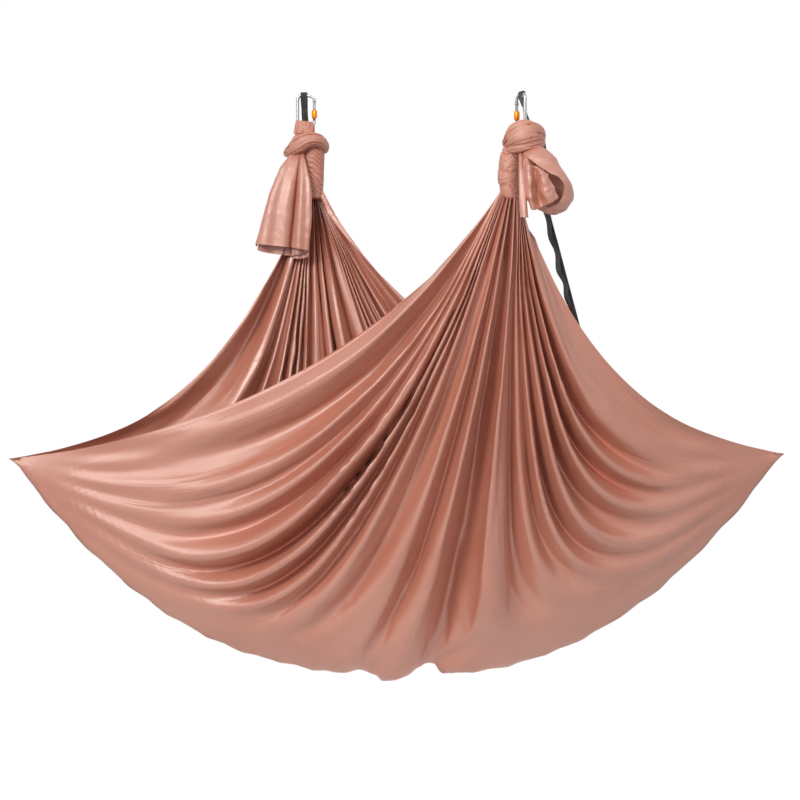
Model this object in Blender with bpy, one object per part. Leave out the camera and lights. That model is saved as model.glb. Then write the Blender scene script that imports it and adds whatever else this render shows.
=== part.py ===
"""Aerial yoga hammock: one gathered sheet between two knots, each hung on a screw-lock
carabiner together with the loose end of its daisy-chain strap.

Metres, +Z up, +X from the left tip to the right tip, +Y away from the viewer.
The origin lies midway between the two hanging points.
"""

import math

import bmesh
import bpy
import numpy as np
from mathutils import Matrix, Vector

# Gaps between pieces that touch or run on each other
SEAT_GAP = 0.0003
RUN_GAP = 0.0004
PIN_GAP = 0.0003

# Carabiner: a D of round bar, +X to the gate, +Z up, centre at the middle
BAR_RADIUS = 0.005
SPINE_X = -0.026
GATE_X = 0.026
SPINE_CORNER_Z = 0.056
GATE_CORNER_Z = 0.043
SPINE_FILLET = 0.017
GATE_FILLET = 0.015
HINGE_END_Z = 0.0300
NOSE_END_Z = -0.028
BAR_SIDES_RES = 4
FILLET_STEPS = 7

# Hinge tongue, nose tongue and the gate that takes them
PIVOT_DROP = 0.0055
TONGUE_THICK = 0.004
TONGUE_HALF = 0.0043
NOSE_TONGUE_LONG = 0.0055
NOSE_TONGUE_BACK = 0.003
NOSE_TONGUE_FRONT = 0.0042
GATE_RADIUS = 0.0049
GATE_EYE_STEP = 0.0003
GATE_END_GAP = 0.0006
TONGUE_END_GAP = 0.001
RIVET_RADIUS = 0.0015
RIVET_HEAD_RADIUS = 0.0026
RIVET_HEAD_HIGH = 0.001

# Pusher and spring inside the gate
PUSHER_RADIUS = 0.0013
PUSHER_HEAD_RADIUS = 0.0024
PUSHER_HEAD_HIGH = 0.0016
PUSHER_LONG = 0.0130
SPRING_LONG = 0.0125
SPRING_WALL = 0.0007

# Screw sleeve on the gate
SLEEVE_RADIUS = 0.0082
SLEEVE_LONG = 0.024
SLEEVE_PASS_GAP = 0.0015
SLEEVE_CHAMFER = 0.0012
KNURL_RIDGES = 18
KNURL_DEEP = 0.0006

# Strap webbing
WEB_WIDE = 0.020
WEB_THICK = 0.0024
POCKET_THICK = 0.0018
POCKET_PITCH = 0.095
POCKET_STAND = 0.014
POCKET_START = 0.14
TACK_LONG = 0.005
TACK_THICK = 0.0009
TACK_GAP = 0.0005
EYE_DROP = 0.036
EYE_OPEN = 0.0085
EYE_X = -0.006
EYE_GAP = 0.0005
EYE_LEAVE = ((0.0125, -0.010), (0.0270, -0.036), (0.0330, -0.046))
WEB_STEP = 0.012
WEB_UNTWIST = 0.35
TACK_WIDE = 0.018
SPAN_POINTS = 12

# Bundle of cloth over the carabiner's lower bar
BUNDLE_X = -0.007
BUNDLE_WIDE = 0.022
BUNDLE_THICK = 0.014
BUNDLE_LIFT = 0.0020
BUNDLE_HALF_SPAN = 0.017
BUNDLE_FOOT_WIDE = 0.050
BUNDLE_FOOT_DROP = 0.0056
BUNDLE_SHOULDER = 0.003
BUNDLE_PLEATS = 3.5
BUNDLE_PLEAT_DEEP = 0.14

# Knot: rows and sides of its round form, its crossing turn and its creases
KNOT_ROWS = 12
KNOT_SIDES = 32
KNOT_ROUND = 2.6
KNOT_FLAT_END = 0.86
KNOT_BAND_WIDE = 0.016
KNOT_BAND_RISE = 0.10
KNOT_CREASE_RISE = 0.025

# Neck: the turns of cloth climbing round it
NECK_ROWS = 18
NECK_SIDES = 24
NECK_TURNS = 5
NECK_TURN_RISE = 0.05
NECK_WAIST = 0.10

# Loose ends out of the knots: right and away from the hanging point, drop under the knot,
# half width, thickness and depth of the pleats
TAIL_COLUMNS = 18
FAR_TAIL_PLEATS = 4
FAR_TAIL = (
    (-0.024, -0.018, 0.0, 0.008, 0.020, 0.0),
    (-0.028, -0.030, 0.020, 0.015, 0.026, 0.002),
    (-0.036, -0.052, 0.060, 0.030, 0.028, 0.004),
    (-0.048, -0.064, 0.120, 0.046, 0.028, 0.006),
    (-0.061, -0.068, 0.200, 0.064, 0.028, 0.008),
    (-0.073, -0.070, 0.278, 0.079, 0.026, 0.010),
)
NEAR_TAIL_PLEATS = 5
NEAR_TAIL = (
    (0.034, -0.018, 0.0, 0.013, 0.018, 0.0),
    (0.042, -0.034, 0.022, 0.028, 0.022, 0.002),
    (0.064, -0.046, 0.060, 0.054, 0.022, 0.005),
    (0.074, -0.050, 0.110, 0.066, 0.022, 0.007),
    (0.070, -0.052, 0.150, 0.060, 0.020, 0.008),
    (0.060, -0.053, 0.188, 0.048, 0.016, 0.007),
)

# Rolled end: right and away from the hanging point, drop under the knot and radius
ROLL_SIDES = 24
ROLL_PLEATS = 5
NEAR_ROLL = (
    (0.006, -0.030, 0.0, 0.007),
    (0.010, -0.052, 0.020, 0.012),
    (0.020, -0.084, 0.055, 0.016),
    (0.028, -0.092, 0.100, 0.019),
    (0.034, -0.096, 0.150, 0.022),
    (0.038, -0.098, 0.186, 0.024),
)

# Sheet, spread by its two tips: its hang, its cut and its folds
TIP_LEFT = Vector((-1.185, 0.0, -1.061))
TIP_RIGHT = Vector((1.107, 0.0, -1.046))
POUCH_LOW_Z = -1.716
EDGE_POWER = 2.25
EDGE_LEAN = 0.12
EDGE_REACH = 0.42
POUCH_SWELL = 1.8
SHEET_THICK = 0.0045
SHEET_RING_RADIUS = 0.030
SHEET_RING_SPAN = math.radians(250)
RIM_TILT = 0.0014
CUT_WIDE = 2.80
CUT_LONG = 3.00
CUT_GIVE = 1.035
FOLDS = 17
FOLD_COLUMNS = 4
HALF_ROWS = 10
ROW_CROWDING = 0.65
TIP_SHARE = 0.38
TIP_SPREAD = 0.10
FOLD_BEND = 0.0020
FOLD_DEEP_MOST = 0.070
FOLD_DEEP_LEAST = 0.0003

SIDES = {
    "far": {
        "centre": Vector((-0.3155, 0.300, -0.0105)),
        "turn": math.radians(-8),
        "outward": 1,
        "web_side": 1,
        "knot_shift": -0.001,
        "knot_half": (0.058, 0.048),
        "knot_high": 0.0700,
        "neck_shift": 0.0228,
        "neck_radius": 0.034,
        "neck_high": 0.1220,
        "band_slope": 0.45,
        "edge_sag": (0.195, 0.235),
        "web_hang": (
            (-0.3150, 0.3620, -0.1200),
            (-0.3130, 0.3700, -0.2400),
            (-0.3100, 0.3760, -0.3600),
            (-0.3080, 0.3780, -0.4800),
            (-0.3070, 0.3780, -0.6000),
            (-0.3070, 0.3780, -0.7200),
        ),
    },
    "near": {
        "centre": Vector((0.3160, -0.300, -0.0680)),
        "turn": math.radians(115),
        "outward": -1,
        "web_side": -1,
        "knot_shift": 0.0044,
        "knot_half": (0.062, 0.050),
        "knot_high": 0.0580,
        "neck_shift": -0.0284,
        "neck_radius": 0.036,
        "neck_high": 0.1170,
        "band_slope": -0.5,
        "edge_sag": (0.190, 0.155),
        "web_hang": (
            (0.3750, -0.2520, -0.1200),
            (0.3840, -0.2350, -0.1600),
            (0.3860, -0.2310, -0.2000),
            (0.3880, -0.2290, -0.2600),
            (0.3930, -0.2270, -0.3420),
            (0.4250, -0.2200, -0.4650),
            (0.4590, -0.2050, -0.5900),
            (0.4810, -0.1920, -0.6700),
            (0.4980, -0.1820, -0.7350),
        ),
    },
}


def clamp(value, low=0.0, high=1.0):
    return max(low, min(high, value))


def ease(value):
    t = clamp(value)
    return t * t * (3 - 2 * t)


def soft_power(value, power):
    return math.copysign(abs(value) ** power, value)


def finish(name, colour, roughness, metallic=0.0):
    material = bpy.data.materials.new(name)
    material.use_nodes = True
    shader = material.node_tree.nodes["Principled BSDF"]
    shader.inputs["Base Color"].default_value = (*colour, 1.0)
    shader.inputs["Roughness"].default_value = roughness
    shader.inputs["Metallic"].default_value = metallic
    return material


def place(name, data, material, parent=None, location=(0, 0, 0)):
    piece = bpy.data.objects.new(name, data)
    bpy.context.scene.collection.objects.link(piece)
    piece.parent = parent
    piece.location = location
    if material:
        data.materials.append(material)
    return piece


def mesh_from(name, bm, smooth=True):
    bmesh.ops.recalc_face_normals(bm, faces=bm.faces)
    mesh = bpy.data.meshes.new(name)
    bm.to_mesh(mesh)
    bm.free()
    if smooth:
        mesh.shade_smooth()
        mesh.set_sharp_from_angle(angle=math.radians(40))
    return mesh


def loft(name, rings, around=False):
    """Skins rings of equal count. The ends are capped, or joined where it runs all around."""
    bm = bmesh.new()
    loops = []
    for ring in rings:
        points = [bm.verts.new(point) for point in ring]
        edges = [bm.edges.new(pair) for pair in zip(points, points[1:] + points[:1])]
        loops.append((points, edges))
    pairs = list(zip(loops, loops[1:]))
    if around:
        pairs.append((loops[-1], loops[0]))
    for (first, _), (second, _) in pairs:
        count = len(first)
        for i in range(count):
            j = (i + 1) % count
            bm.faces.new((first[i], first[j], second[j], second[i]))
    if not around:
        for _, edges in (loops[0], loops[-1]):
            bmesh.ops.edgeloop_fill(bm, edges=edges)
    return mesh_from(name, bm)


def prism(name, outline, thick):
    """A plate of the outline in XZ, thick along Y about the middle plane."""
    bm = bmesh.new()
    points = [bm.verts.new((x, -thick / 2, z)) for x, z in outline]
    face = bm.faces.new(points)
    grown = bmesh.ops.extrude_face_region(bm, geom=[face])["geom"]
    moved = [item for item in grown if isinstance(item, bmesh.types.BMVert)]
    bmesh.ops.translate(bm, verts=moved, vec=(0, thick, 0))
    return mesh_from(name, bm)


def turned(name, profile, sides, axis="Z"):
    """A solid of revolution from (radius, height) points, whose ends lie on the axis."""
    rings = [
        [
            (r * math.cos(2 * math.pi * k / sides), r * math.sin(2 * math.pi * k / sides), h)
            for k in range(sides)
        ]
        for r, h in profile
    ]
    mesh = loft(name, rings)
    if axis == "Y":
        mesh.transform(Matrix.Rotation(math.radians(-90), 4, "X"))
    return mesh


def box(name, low, high):
    bm = bmesh.new()
    bmesh.ops.create_cube(bm, size=1.0)
    bmesh.ops.scale(bm, verts=bm.verts, vec=[b - a for a, b in zip(low, high)])
    bmesh.ops.translate(bm, verts=bm.verts, vec=[(a + b) / 2 for a, b in zip(low, high)])
    return mesh_from(name, bm, smooth=False)


def combine(piece, tool_mesh, operation):
    """Adds or cuts one shape on a piece, with the tool kept hidden beside it."""
    tool = place(f"{piece.name}_tool_{len(piece.modifiers)}", tool_mesh, None, piece)
    tool.hide_render = True
    tool.hide_viewport = False
    tool.display_type = "WIRE"
    step = piece.modifiers.new(operation.lower(), "BOOLEAN")
    step.operation = operation
    step.object = tool
    step.solver = "EXACT"


def corner(before, at, after, radius):
    """Points of the round between two straight runs of an outline in XZ."""
    at = Vector(at)
    back = (Vector(before) - at).normalized()
    ahead = (Vector(after) - at).normalized()
    half = back.angle(ahead) / 2
    centre = at + (back + ahead).normalized() * radius / math.sin(half)
    start = at + back * radius / math.tan(half) - centre
    end = at + ahead * radius / math.tan(half) - centre
    sweep = start.angle_signed(end)
    return [
        centre + Matrix.Rotation(-sweep * k / FILLET_STEPS, 2) @ start
        for k in range(FILLET_STEPS + 1)
    ]


def bar_route():
    """Centre line of the bar, from the hinge end over the top, down the spine to the nose."""
    hinge = (GATE_X, HINGE_END_Z)
    nose = (GATE_X, NOSE_END_Z)
    corners = (
        (GATE_X, GATE_CORNER_Z, GATE_FILLET),
        (SPINE_X, SPINE_CORNER_Z, SPINE_FILLET),
        (SPINE_X, -SPINE_CORNER_Z, SPINE_FILLET),
        (GATE_X, -GATE_CORNER_Z, GATE_FILLET),
    )
    stops = [hinge] + [c[:2] for c in corners] + [nose]
    route = [Vector(hinge)]
    for before, (x, z, radius), after in zip(stops, corners, stops[2:]):
        route += corner(before, (x, z), after, radius)
    route.append(Vector(nose))
    return [(point.x, 0.0, point.y) for point in route]


def bar_reach():
    """How far the bar's centre line reaches above and below the middle."""
    slope = (SPINE_CORNER_Z - GATE_CORNER_Z) / (GATE_X - SPINE_X)
    run = SPINE_FILLET / math.cos(math.atan(slope))
    return SPINE_CORNER_Z - slope * SPINE_FILLET - run + SPINE_FILLET


def tube(name, route, radius, resolution):
    curve = bpy.data.curves.new(name, "CURVE")
    curve.dimensions = "3D"
    curve.bevel_depth = radius
    curve.bevel_resolution = resolution
    curve.use_fill_caps = True
    spline = curve.splines.new("POLY")
    spline.points.add(len(route) - 1)
    for point, at in zip(spline.points, route):
        point.co = (*at, 1.0)
    holder = place(f"{name}_route", curve, None)
    graph = bpy.context.evaluated_depsgraph_get()
    mesh = bpy.data.meshes.new_from_object(holder.evaluated_get(graph))
    bpy.data.objects.remove(holder)
    bm = bmesh.new()
    bm.from_mesh(mesh)
    bmesh.ops.remove_doubles(bm, verts=bm.verts, dist=0.00002)
    bpy.data.meshes.remove(mesh)
    return mesh_from(name, bm)


def tongue_outline(reach):
    """The hinge tongue about its pin: round below, running up into the bar."""
    steps = 10
    outline = [
        (
            TONGUE_HALF * math.cos(math.pi + math.pi * k / steps),
            TONGUE_HALF * math.sin(math.pi + math.pi * k / steps),
        )
        for k in range(steps + 1)
    ]
    return outline + [(TONGUE_HALF, reach), (-TONGUE_HALF, reach)]


def build_carabiner(side, values, finishes):
    frame = place(f"{side}_carabiner_frame", None, None, None, values["centre"])
    frame.rotation_euler = (0, 0, values["turn"])
    pivot = Vector((GATE_X, 0, HINGE_END_Z - PIVOT_DROP))

    body = place(
        f"{side}_carabiner_body",
        tube(f"{side}_carabiner_body", bar_route(), BAR_RADIUS, BAR_SIDES_RES),
        finishes["steel"],
        frame,
    )
    tongue = prism("tongue", tongue_outline(PIVOT_DROP + BAR_RADIUS), TONGUE_THICK)
    tongue.transform(Matrix.Translation(pivot))
    combine(body, tongue, "UNION")
    nose = box(
        "nose_tongue",
        (GATE_X - NOSE_TONGUE_BACK, -TONGUE_THICK / 2, NOSE_END_Z - BAR_RADIUS / 2),
        (GATE_X + NOSE_TONGUE_FRONT, TONGUE_THICK / 2, NOSE_END_Z + NOSE_TONGUE_LONG),
    )
    combine(body, nose, "UNION")
    hole_radius = RIVET_RADIUS + PIN_GAP
    hole = turned("hole", [(hole_radius, -GATE_X), (hole_radius, GATE_X)], 16, "Y")
    body_hole = hole.copy()
    body_hole.transform(Matrix.Translation(pivot))
    combine(body, body_hole, "DIFFERENCE")

    gate_low = NOSE_END_Z + GATE_END_GAP - pivot.z
    rod = turned("rod", [(GATE_RADIUS, gate_low), (GATE_RADIUS, 0.0)], 20)
    gate = place(f"{side}_carabiner_gate", rod, finishes["steel"], frame, pivot)
    eye_half = GATE_RADIUS - GATE_EYE_STEP
    head = turned("head", [(eye_half, -eye_half), (eye_half, eye_half)], 22, "Y")
    combine(gate, head, "UNION")
    slot_half = TONGUE_THICK / 2 + PIN_GAP
    slot_floor = -TONGUE_HALF - TONGUE_END_GAP
    wide = GATE_RADIUS * 2
    combine(
        gate,
        box("hinge_slot", (-wide, -slot_half, slot_floor), (wide, slot_half, wide)),
        "DIFFERENCE",
    )
    nose_slot_top = NOSE_END_Z + NOSE_TONGUE_LONG + TONGUE_END_GAP - pivot.z
    combine(
        gate,
        box(
            "nose_slot",
            (-NOSE_TONGUE_BACK - RUN_GAP, -slot_half, gate_low - wide),
            (wide, slot_half, nose_slot_top),
        ),
        "DIFFERENCE",
    )
    combine(gate, hole, "DIFFERENCE")
    pusher_top = -TONGUE_HALF - PIN_GAP
    spring_top = pusher_top - PUSHER_HEAD_HIGH - SEAT_GAP
    spring_low = spring_top - SPRING_LONG
    bore_radius = PUSHER_HEAD_RADIUS + RUN_GAP
    bore = turned("bore", [(bore_radius, spring_low - SEAT_GAP), (bore_radius, pusher_top)], 16)
    combine(gate, bore, "DIFFERENCE")

    pusher = turned(
        "pusher",
        [
            (PUSHER_RADIUS, pusher_top - PUSHER_LONG),
            (PUSHER_RADIUS, pusher_top - PUSHER_HEAD_HIGH),
            (PUSHER_HEAD_RADIUS, pusher_top - PUSHER_HEAD_HIGH),
            (PUSHER_HEAD_RADIUS, pusher_top),
        ],
        14,
    )
    place(f"{side}_gate_pusher", pusher, finishes["steel"], gate)
    inner = PUSHER_RADIUS + RUN_GAP
    outer = inner + SPRING_WALL
    spring_rings = [
        [
            (r * math.cos(2 * math.pi * k / 14), r * math.sin(2 * math.pi * k / 14), h)
            for k in range(14)
        ]
        for r, h in (
            (inner, spring_low),
            (outer, spring_low),
            (outer, spring_top),
            (inner, spring_top),
        )
    ]
    place(f"{side}_gate_spring", loft("spring", spring_rings, True), finishes["steel"], gate)

    head_in = GATE_RADIUS + SEAT_GAP
    head_out = head_in + RIVET_HEAD_HIGH
    rivet = turned(
        "rivet",
        [
            (RIVET_HEAD_RADIUS * 0.7, -head_out),
            (RIVET_HEAD_RADIUS, -head_out + RIVET_HEAD_HIGH / 2),
            (RIVET_HEAD_RADIUS, -head_in),
            (RIVET_RADIUS, -head_in),
            (RIVET_RADIUS, head_in),
            (RIVET_HEAD_RADIUS, head_in),
            (RIVET_HEAD_RADIUS, head_out - RIVET_HEAD_HIGH / 2),
            (RIVET_HEAD_RADIUS * 0.7, head_out),
        ],
        14,
        "Y",
    )
    place(f"{side}_gate_rivet", rivet, finishes["steel"], frame, pivot)

    sleeve_low = NOSE_END_Z + NOSE_TONGUE_LONG + SLEEVE_PASS_GAP - pivot.z
    place(f"{side}_locking_sleeve", sleeve_mesh(side), finishes["orange"], gate, (0, 0, sleeve_low))
    return frame


def sleeve_mesh(side):
    sides = KNURL_RIDGES * 2
    bore = GATE_RADIUS + RUN_GAP
    neck = SLEEVE_RADIUS - SLEEVE_CHAMFER
    stops = (
        (bore, 0.0, False),
        (neck, 0.0, False),
        (SLEEVE_RADIUS, SLEEVE_CHAMFER, True),
        (SLEEVE_RADIUS, SLEEVE_LONG - SLEEVE_CHAMFER, True),
        (neck, SLEEVE_LONG, False),
        (bore, SLEEVE_LONG, False),
    )
    rings = []
    for radius, height, knurled in stops:
        ring = []
        for k in range(sides):
            r = radius - (KNURL_DEEP if knurled and k % 2 else 0)
            angle = 2 * math.pi * k / sides
            ring.append((r * math.cos(angle), r * math.sin(angle), height))
        rings.append(ring)
    return loft(f"{side}_locking_sleeve", rings, True)


def smooth_route(points, step):
    """A smooth curve through the points, read at even steps."""
    points = [Vector(p) for p in points]
    ends = [points[0] * 2 - points[1]] + points + [points[-1] * 2 - points[-2]]
    fine = []
    for a, b, c, d in zip(ends, ends[1:], ends[2:], ends[3:]):
        for k in range(SPAN_POINTS):
            t = k / SPAN_POINTS
            fine.append(
                (b * 2 + (c - a) * t + (a * 2 - b * 5 + c * 4 - d) * t * t
                 + (b * 3 - a - c * 3 + d) * t * t * t) / 2
            )
    fine.append(points[-1])
    lengths = [0.0]
    for a, b in zip(fine, fine[1:]):
        lengths.append(lengths[-1] + (b - a).length)
    count = max(2, round(lengths[-1] / step))
    route, at = [], 0
    for k in range(count + 1):
        goal = lengths[-1] * k / count
        while at < len(fine) - 2 and lengths[at + 1] < goal:
            at += 1
        share = (goal - lengths[at]) / max(lengths[at + 1] - lengths[at], 1e-9)
        route.append(fine[at].lerp(fine[at + 1], clamp(share)))
    return route


def band_frames(route, across):
    """At each point of a band, its width direction and the direction out of its face."""
    frames = []
    last = len(route) - 1
    for k in range(len(route)):
        along = (route[min(k + 1, last)] - route[max(k - 1, 0)]).normalized()
        side = (across[k] - along * across[k].dot(along)).normalized()
        frames.append((side, along.cross(side)))
    return frames


def ribbon(name, route, across, thick, lift):
    """A flat band along a route: across gives its width direction, lift its height off it."""
    rings = []
    for k, (side, out) in enumerate(band_frames(route, across)):
        base = route[k] + out * lift[k]
        rings.append(
            [
                base + side * (WEB_WIDE / 2) * a + out * (thick / 2) * b
                for a, b in ((-1, -1), (1, -1), (1, 1), (-1, 1))
            ]
        )
    return loft(name, rings)


def build_daisy_chain(side, values, finishes):
    """The strap's eye round the top bar, its loose length, its sewn pockets and bar tacks."""
    sign = values["web_side"]
    place_in = Matrix.Translation(values["centre"]) @ Matrix.Rotation(values["turn"], 4, "Z")
    bar_top = bar_reach()
    reach = BAR_RADIUS + RUN_GAP + WEB_THICK / 2
    joint_z = bar_top - EYE_DROP
    inner_y = EYE_OPEN - WEB_THICK - EYE_GAP
    eye = [(inner_y, joint_z), (-reach * 0.92, bar_top - EYE_DROP * 0.25)]
    eye += [
        (reach * math.cos(math.radians(a)), bar_top + reach * math.sin(math.radians(a)))
        for a in range(180, -1, -30)
    ]
    eye += [(EYE_OPEN * 0.95, bar_top - EYE_DROP * 0.5), (EYE_OPEN, joint_z)]
    eye += EYE_LEAVE
    points = [place_in @ Vector((EYE_X, sign * y, z)) for y, z in eye]
    route = smooth_route(points, WEB_STEP / 3)
    turn_at = len(route)
    tail = smooth_route([points[-1]] + [Vector(p) for p in values["web_hang"]], WEB_STEP)
    route += tail[1:]
    bar_way = (place_in.to_3x3() @ Vector((1, 0, 0))).normalized()
    flat_way = Vector((1, 0, 0)) if bar_way.x > 0 else Vector((-1, 0, 0))
    across = []
    for k in range(len(route)):
        share = ease((k - turn_at) / max(1, (len(route) - turn_at) * WEB_UNTWIST))
        across.append(bar_way.lerp(flat_way, share).normalized())
    strap = ribbon(f"{side}_strap", route, across, WEB_THICK, [0.0] * len(route))
    place(f"{side}_strap", strap, finishes["webbing"])

    hang = route[turn_at:]
    ways = across[turn_at:]
    frames = band_frames(route, across)[turn_at:]
    gone, lengths = 0.0, [0.0]
    for a, b in zip(hang, hang[1:]):
        gone += (b - a).length
        lengths.append(gone)
    flat = (WEB_THICK + POCKET_THICK) / 2 + SEAT_GAP
    pocket_sign = -1 if side == "near" else 1
    pockets = int((gone - POCKET_START) / POCKET_PITCH)
    first = gone - pockets * POCKET_PITCH
    route_p, across_p, lift = [], [], []
    fine = smooth_route(hang, POCKET_PITCH / 8)
    for k, point in enumerate(fine):
        at = gone * k / (len(fine) - 1)
        if at < first:
            continue
        phase = (at - first) / POCKET_PITCH
        wave = math.sin(math.pi * (phase % 1.0)) ** 2
        route_p.append(point)
        near_k = min(range(len(hang)), key=lambda i: (hang[i] - point).length)
        across_p.append(ways[near_k])
        lift.append(pocket_sign * (flat + POCKET_STAND * wave))
    pocket_mesh = ribbon(f"{side}_strap_pockets", route_p, across_p, POCKET_THICK, lift)
    place(f"{side}_strap_pockets", pocket_mesh, finishes["webbing"])

    for n in range(pockets + 1):
        goal = first + n * POCKET_PITCH
        goal = clamp(goal, TACK_LONG, gone - TACK_LONG)
        k = max(i for i, length in enumerate(lengths) if length <= goal)
        k = min(k, len(hang) - 2)
        share = (goal - lengths[k]) / (lengths[k + 1] - lengths[k])
        at = hang[k].lerp(hang[k + 1], share)
        side_way = frames[k][0].lerp(frames[k + 1][0], share).normalized()
        out = frames[k][1].lerp(frames[k + 1][1], share).normalized()
        off = -pocket_sign * (WEB_THICK / 2 + TACK_GAP + TACK_THICK / 2)
        turn = Matrix((side_way.cross(out), side_way, out)).transposed().to_4x4()
        half = Vector((TACK_LONG / 2, TACK_WIDE / 2, TACK_THICK / 2))
        tack = box(f"{side}_bar_tack_{n + 1}", -half, half)
        tack.transform(Matrix.Translation(at + out * off) @ turn)
        place(f"{side}_bar_tack_{n + 1}", tack, finishes["thread"])


def build_bundle(side, values, frame, finishes):
    """Gathered cloth over the lower bar: a narrow saddle that widens into two feet."""
    top = -bar_reach() + BAR_RADIUS + BUNDLE_LIFT + BUNDLE_THICK / 2
    round_z = top - BUNDLE_HALF_SPAN
    foot_z = -SPINE_CORNER_Z - BUNDLE_FOOT_DROP
    shoulder_z = round_z - BUNDLE_SHOULDER
    stations = [(-BUNDLE_HALF_SPAN, foot_z, 0.0, 1.0), (-BUNDLE_HALF_SPAN, shoulder_z, 0.0, 0.7)]
    for degrees in range(0, 181, 20):
        a = math.radians(degrees)
        spread = 0.6 * ease(1 - min(degrees, 180 - degrees) / 40)
        stations.append(
            (-BUNDLE_HALF_SPAN * math.cos(a), round_z + BUNDLE_HALF_SPAN * math.sin(a), a, spread)
        )
    stations += [
        (BUNDLE_HALF_SPAN, shoulder_z, math.pi, 0.7),
        (BUNDLE_HALF_SPAN, foot_z, math.pi, 1.0),
    ]
    rings = []
    for y, z, a, spread in stations:
        half = (BUNDLE_WIDE + (BUNDLE_FOOT_WIDE - BUNDLE_WIDE) * spread) / 2
        outward = Vector((0, -math.cos(a), math.sin(a)))
        ring = []
        for k in range(20):
            t = 2 * math.pi * k / 20
            x = half * soft_power(math.cos(t), 0.75)
            pleat = 1 - BUNDLE_PLEAT_DEEP * (1 + math.cos(x / half * math.pi * BUNDLE_PLEATS)) / 2
            h = BUNDLE_THICK / 2 * soft_power(math.sin(t), 0.6) * pleat
            ring.append(Vector((BUNDLE_X + x, y, z)) + outward * h)
        rings.append(ring)
    place(f"{side}_knot_bundle", loft(f"{side}_knot_bundle", rings), finishes["fabric"], frame)
    return values["centre"].z + foot_z


def build_knot(side, values, top_z, finishes):
    """The hitch under the carabiner: a full round form with its crossing turn."""
    high = values["knot_high"]
    half_x, half_y = values["knot_half"]
    middle = values["centre"] + Vector((values["knot_shift"], 0, 0))
    low_z = top_z - high
    rings = []
    for row in range(KNOT_ROWS + 1):
        t = row / KNOT_ROWS
        z = low_z + high * t
        level = 2 * t - 1
        full = (1 - (abs(level) * KNOT_FLAT_END) ** KNOT_ROUND) ** (1 / KNOT_ROUND)
        ring = []
        for k in range(KNOT_SIDES):
            a = 2 * math.pi * k / KNOT_SIDES
            x, y = math.cos(a), math.sin(a)
            off_band = (z - (low_z + high / 2) - values["band_slope"] * half_x * x) / KNOT_BAND_WIDE
            inset = clamp(min(t, 1 - t) * 4)
            band = KNOT_BAND_RISE * math.exp(-off_band**2) * inset
            creases = KNOT_CREASE_RISE * math.cos(3 * a + 9 * level) * inset
            grow = full * (0.93 + band + creases)
            ring.append((middle.x + half_x * grow * x, middle.y + half_y * grow * y, z))
        rings.append(ring)
    place(f"{side}_knot", loft(f"{side}_knot", rings), finishes["fabric"])
    return low_z


def build_neck(side, values, top_z, finishes):
    """The wrapped column under the knot, with its turns climbing round it."""
    radius = values["neck_radius"]
    low_z = top_z - values["neck_high"]
    middle = values["centre"] + Vector((values["neck_shift"], 0, 0))
    rings = []
    for row in range(NECK_ROWS + 1):
        t = row / NECK_ROWS
        z = low_z + (top_z - low_z) * t
        ring = []
        for k in range(NECK_SIDES):
            a = 2 * math.pi * k / NECK_SIDES
            turns = NECK_TURN_RISE * math.cos(2 * math.pi * NECK_TURNS * t + a) * clamp(min(t, 1 - t) * 8)
            waist = 1 - NECK_WAIST * math.sin(math.pi * t)
            r = radius * (waist + turns - 0.03)
            ring.append((middle.x + r * math.cos(a), middle.y + r * math.sin(a), z))
        rings.append(ring)
    place(f"{side}_neck", loft(f"{side}_neck", rings), finishes["fabric"])
    return Vector((middle.x, middle.y, low_z))


def pleated_tail(name, hung_from, stations, pleats, finishes):
    """A hanging end of pleated cloth, flat behind its hanging point's front."""
    rings = []
    for right, away, drop, half, thick, deep in stations:
        front, back = [], []
        for k in range(TAIL_COLUMNS + 1):
            share = 2 * k / TAIL_COLUMNS - 1
            wave = deep * math.cos(math.pi * pleats * (share + 1))
            lean = thick * 0.5 * (1 - 0.55 * share**4)
            middle = hung_from + Vector((right + half * share, away + wave, -drop))
            front.append(middle - Vector((0, lean, 0)))
            back.append(middle + Vector((0, lean, 0)))
        rings.append(front + back[::-1])
    place(name, loft(name, rings), finishes["fabric"])


def rolled_tail(name, hung_from, stations, finishes):
    """A hanging end rolled on itself."""
    rings = []
    for right, away, drop, radius in stations:
        ring = []
        for k in range(ROLL_SIDES):
            a = 2 * math.pi * k / ROLL_SIDES
            r = radius * (0.92 + 0.08 * math.cos(ROLL_PLEATS * a))
            ring.append(hung_from + Vector((right + r * math.cos(a), away + r * math.sin(a), -drop)))
        rings.append(ring)
    place(name, loft(name, rings), finishes["fabric"])


def build_tails(knot_lows, finishes):
    foot = {}
    for side, values in SIDES.items():
        foot[side] = Vector((values["centre"].x, values["centre"].y, knot_lows[side] - SEAT_GAP))
    pleated_tail("far_tail", foot["far"], FAR_TAIL, FAR_TAIL_PLEATS, finishes)
    pleated_tail("near_tail", foot["near"], NEAR_TAIL, NEAR_TAIL_PLEATS, finishes)
    rolled_tail("near_rolled_tail", foot["near"], NEAR_ROLL, finishes)


def eased(values):
    t = np.clip(values, 0, 1)
    return t * t * (3 - 2 * t)


def low_edge(u):
    """The sheet's middle line, from tip to tip under the pouch."""
    share = u + EDGE_LEAN / (2 * np.pi) * np.sin(2 * np.pi * u)
    tip = np.array(TIP_LEFT) * (1 - share)[..., None] + np.array(TIP_RIGHT) * share[..., None]
    level = 1 - np.abs(2 * share - 1) ** EDGE_POWER
    return np.stack([tip[..., 0], 0 * level, tip[..., 2] + (POUCH_LOW_Z - tip[..., 2]) * level], -1)


def edge_bow(neck, tip, sag):
    """How far and which way a hanging edge bows below its straight line."""
    chord = tip - neck
    flat = Vector((chord.x, 0, chord.z)).normalized()
    down = Vector((flat.z, 0, -flat.x))
    if down.z > 0:
        down = -down
    return np.array(down * sag)


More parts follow.
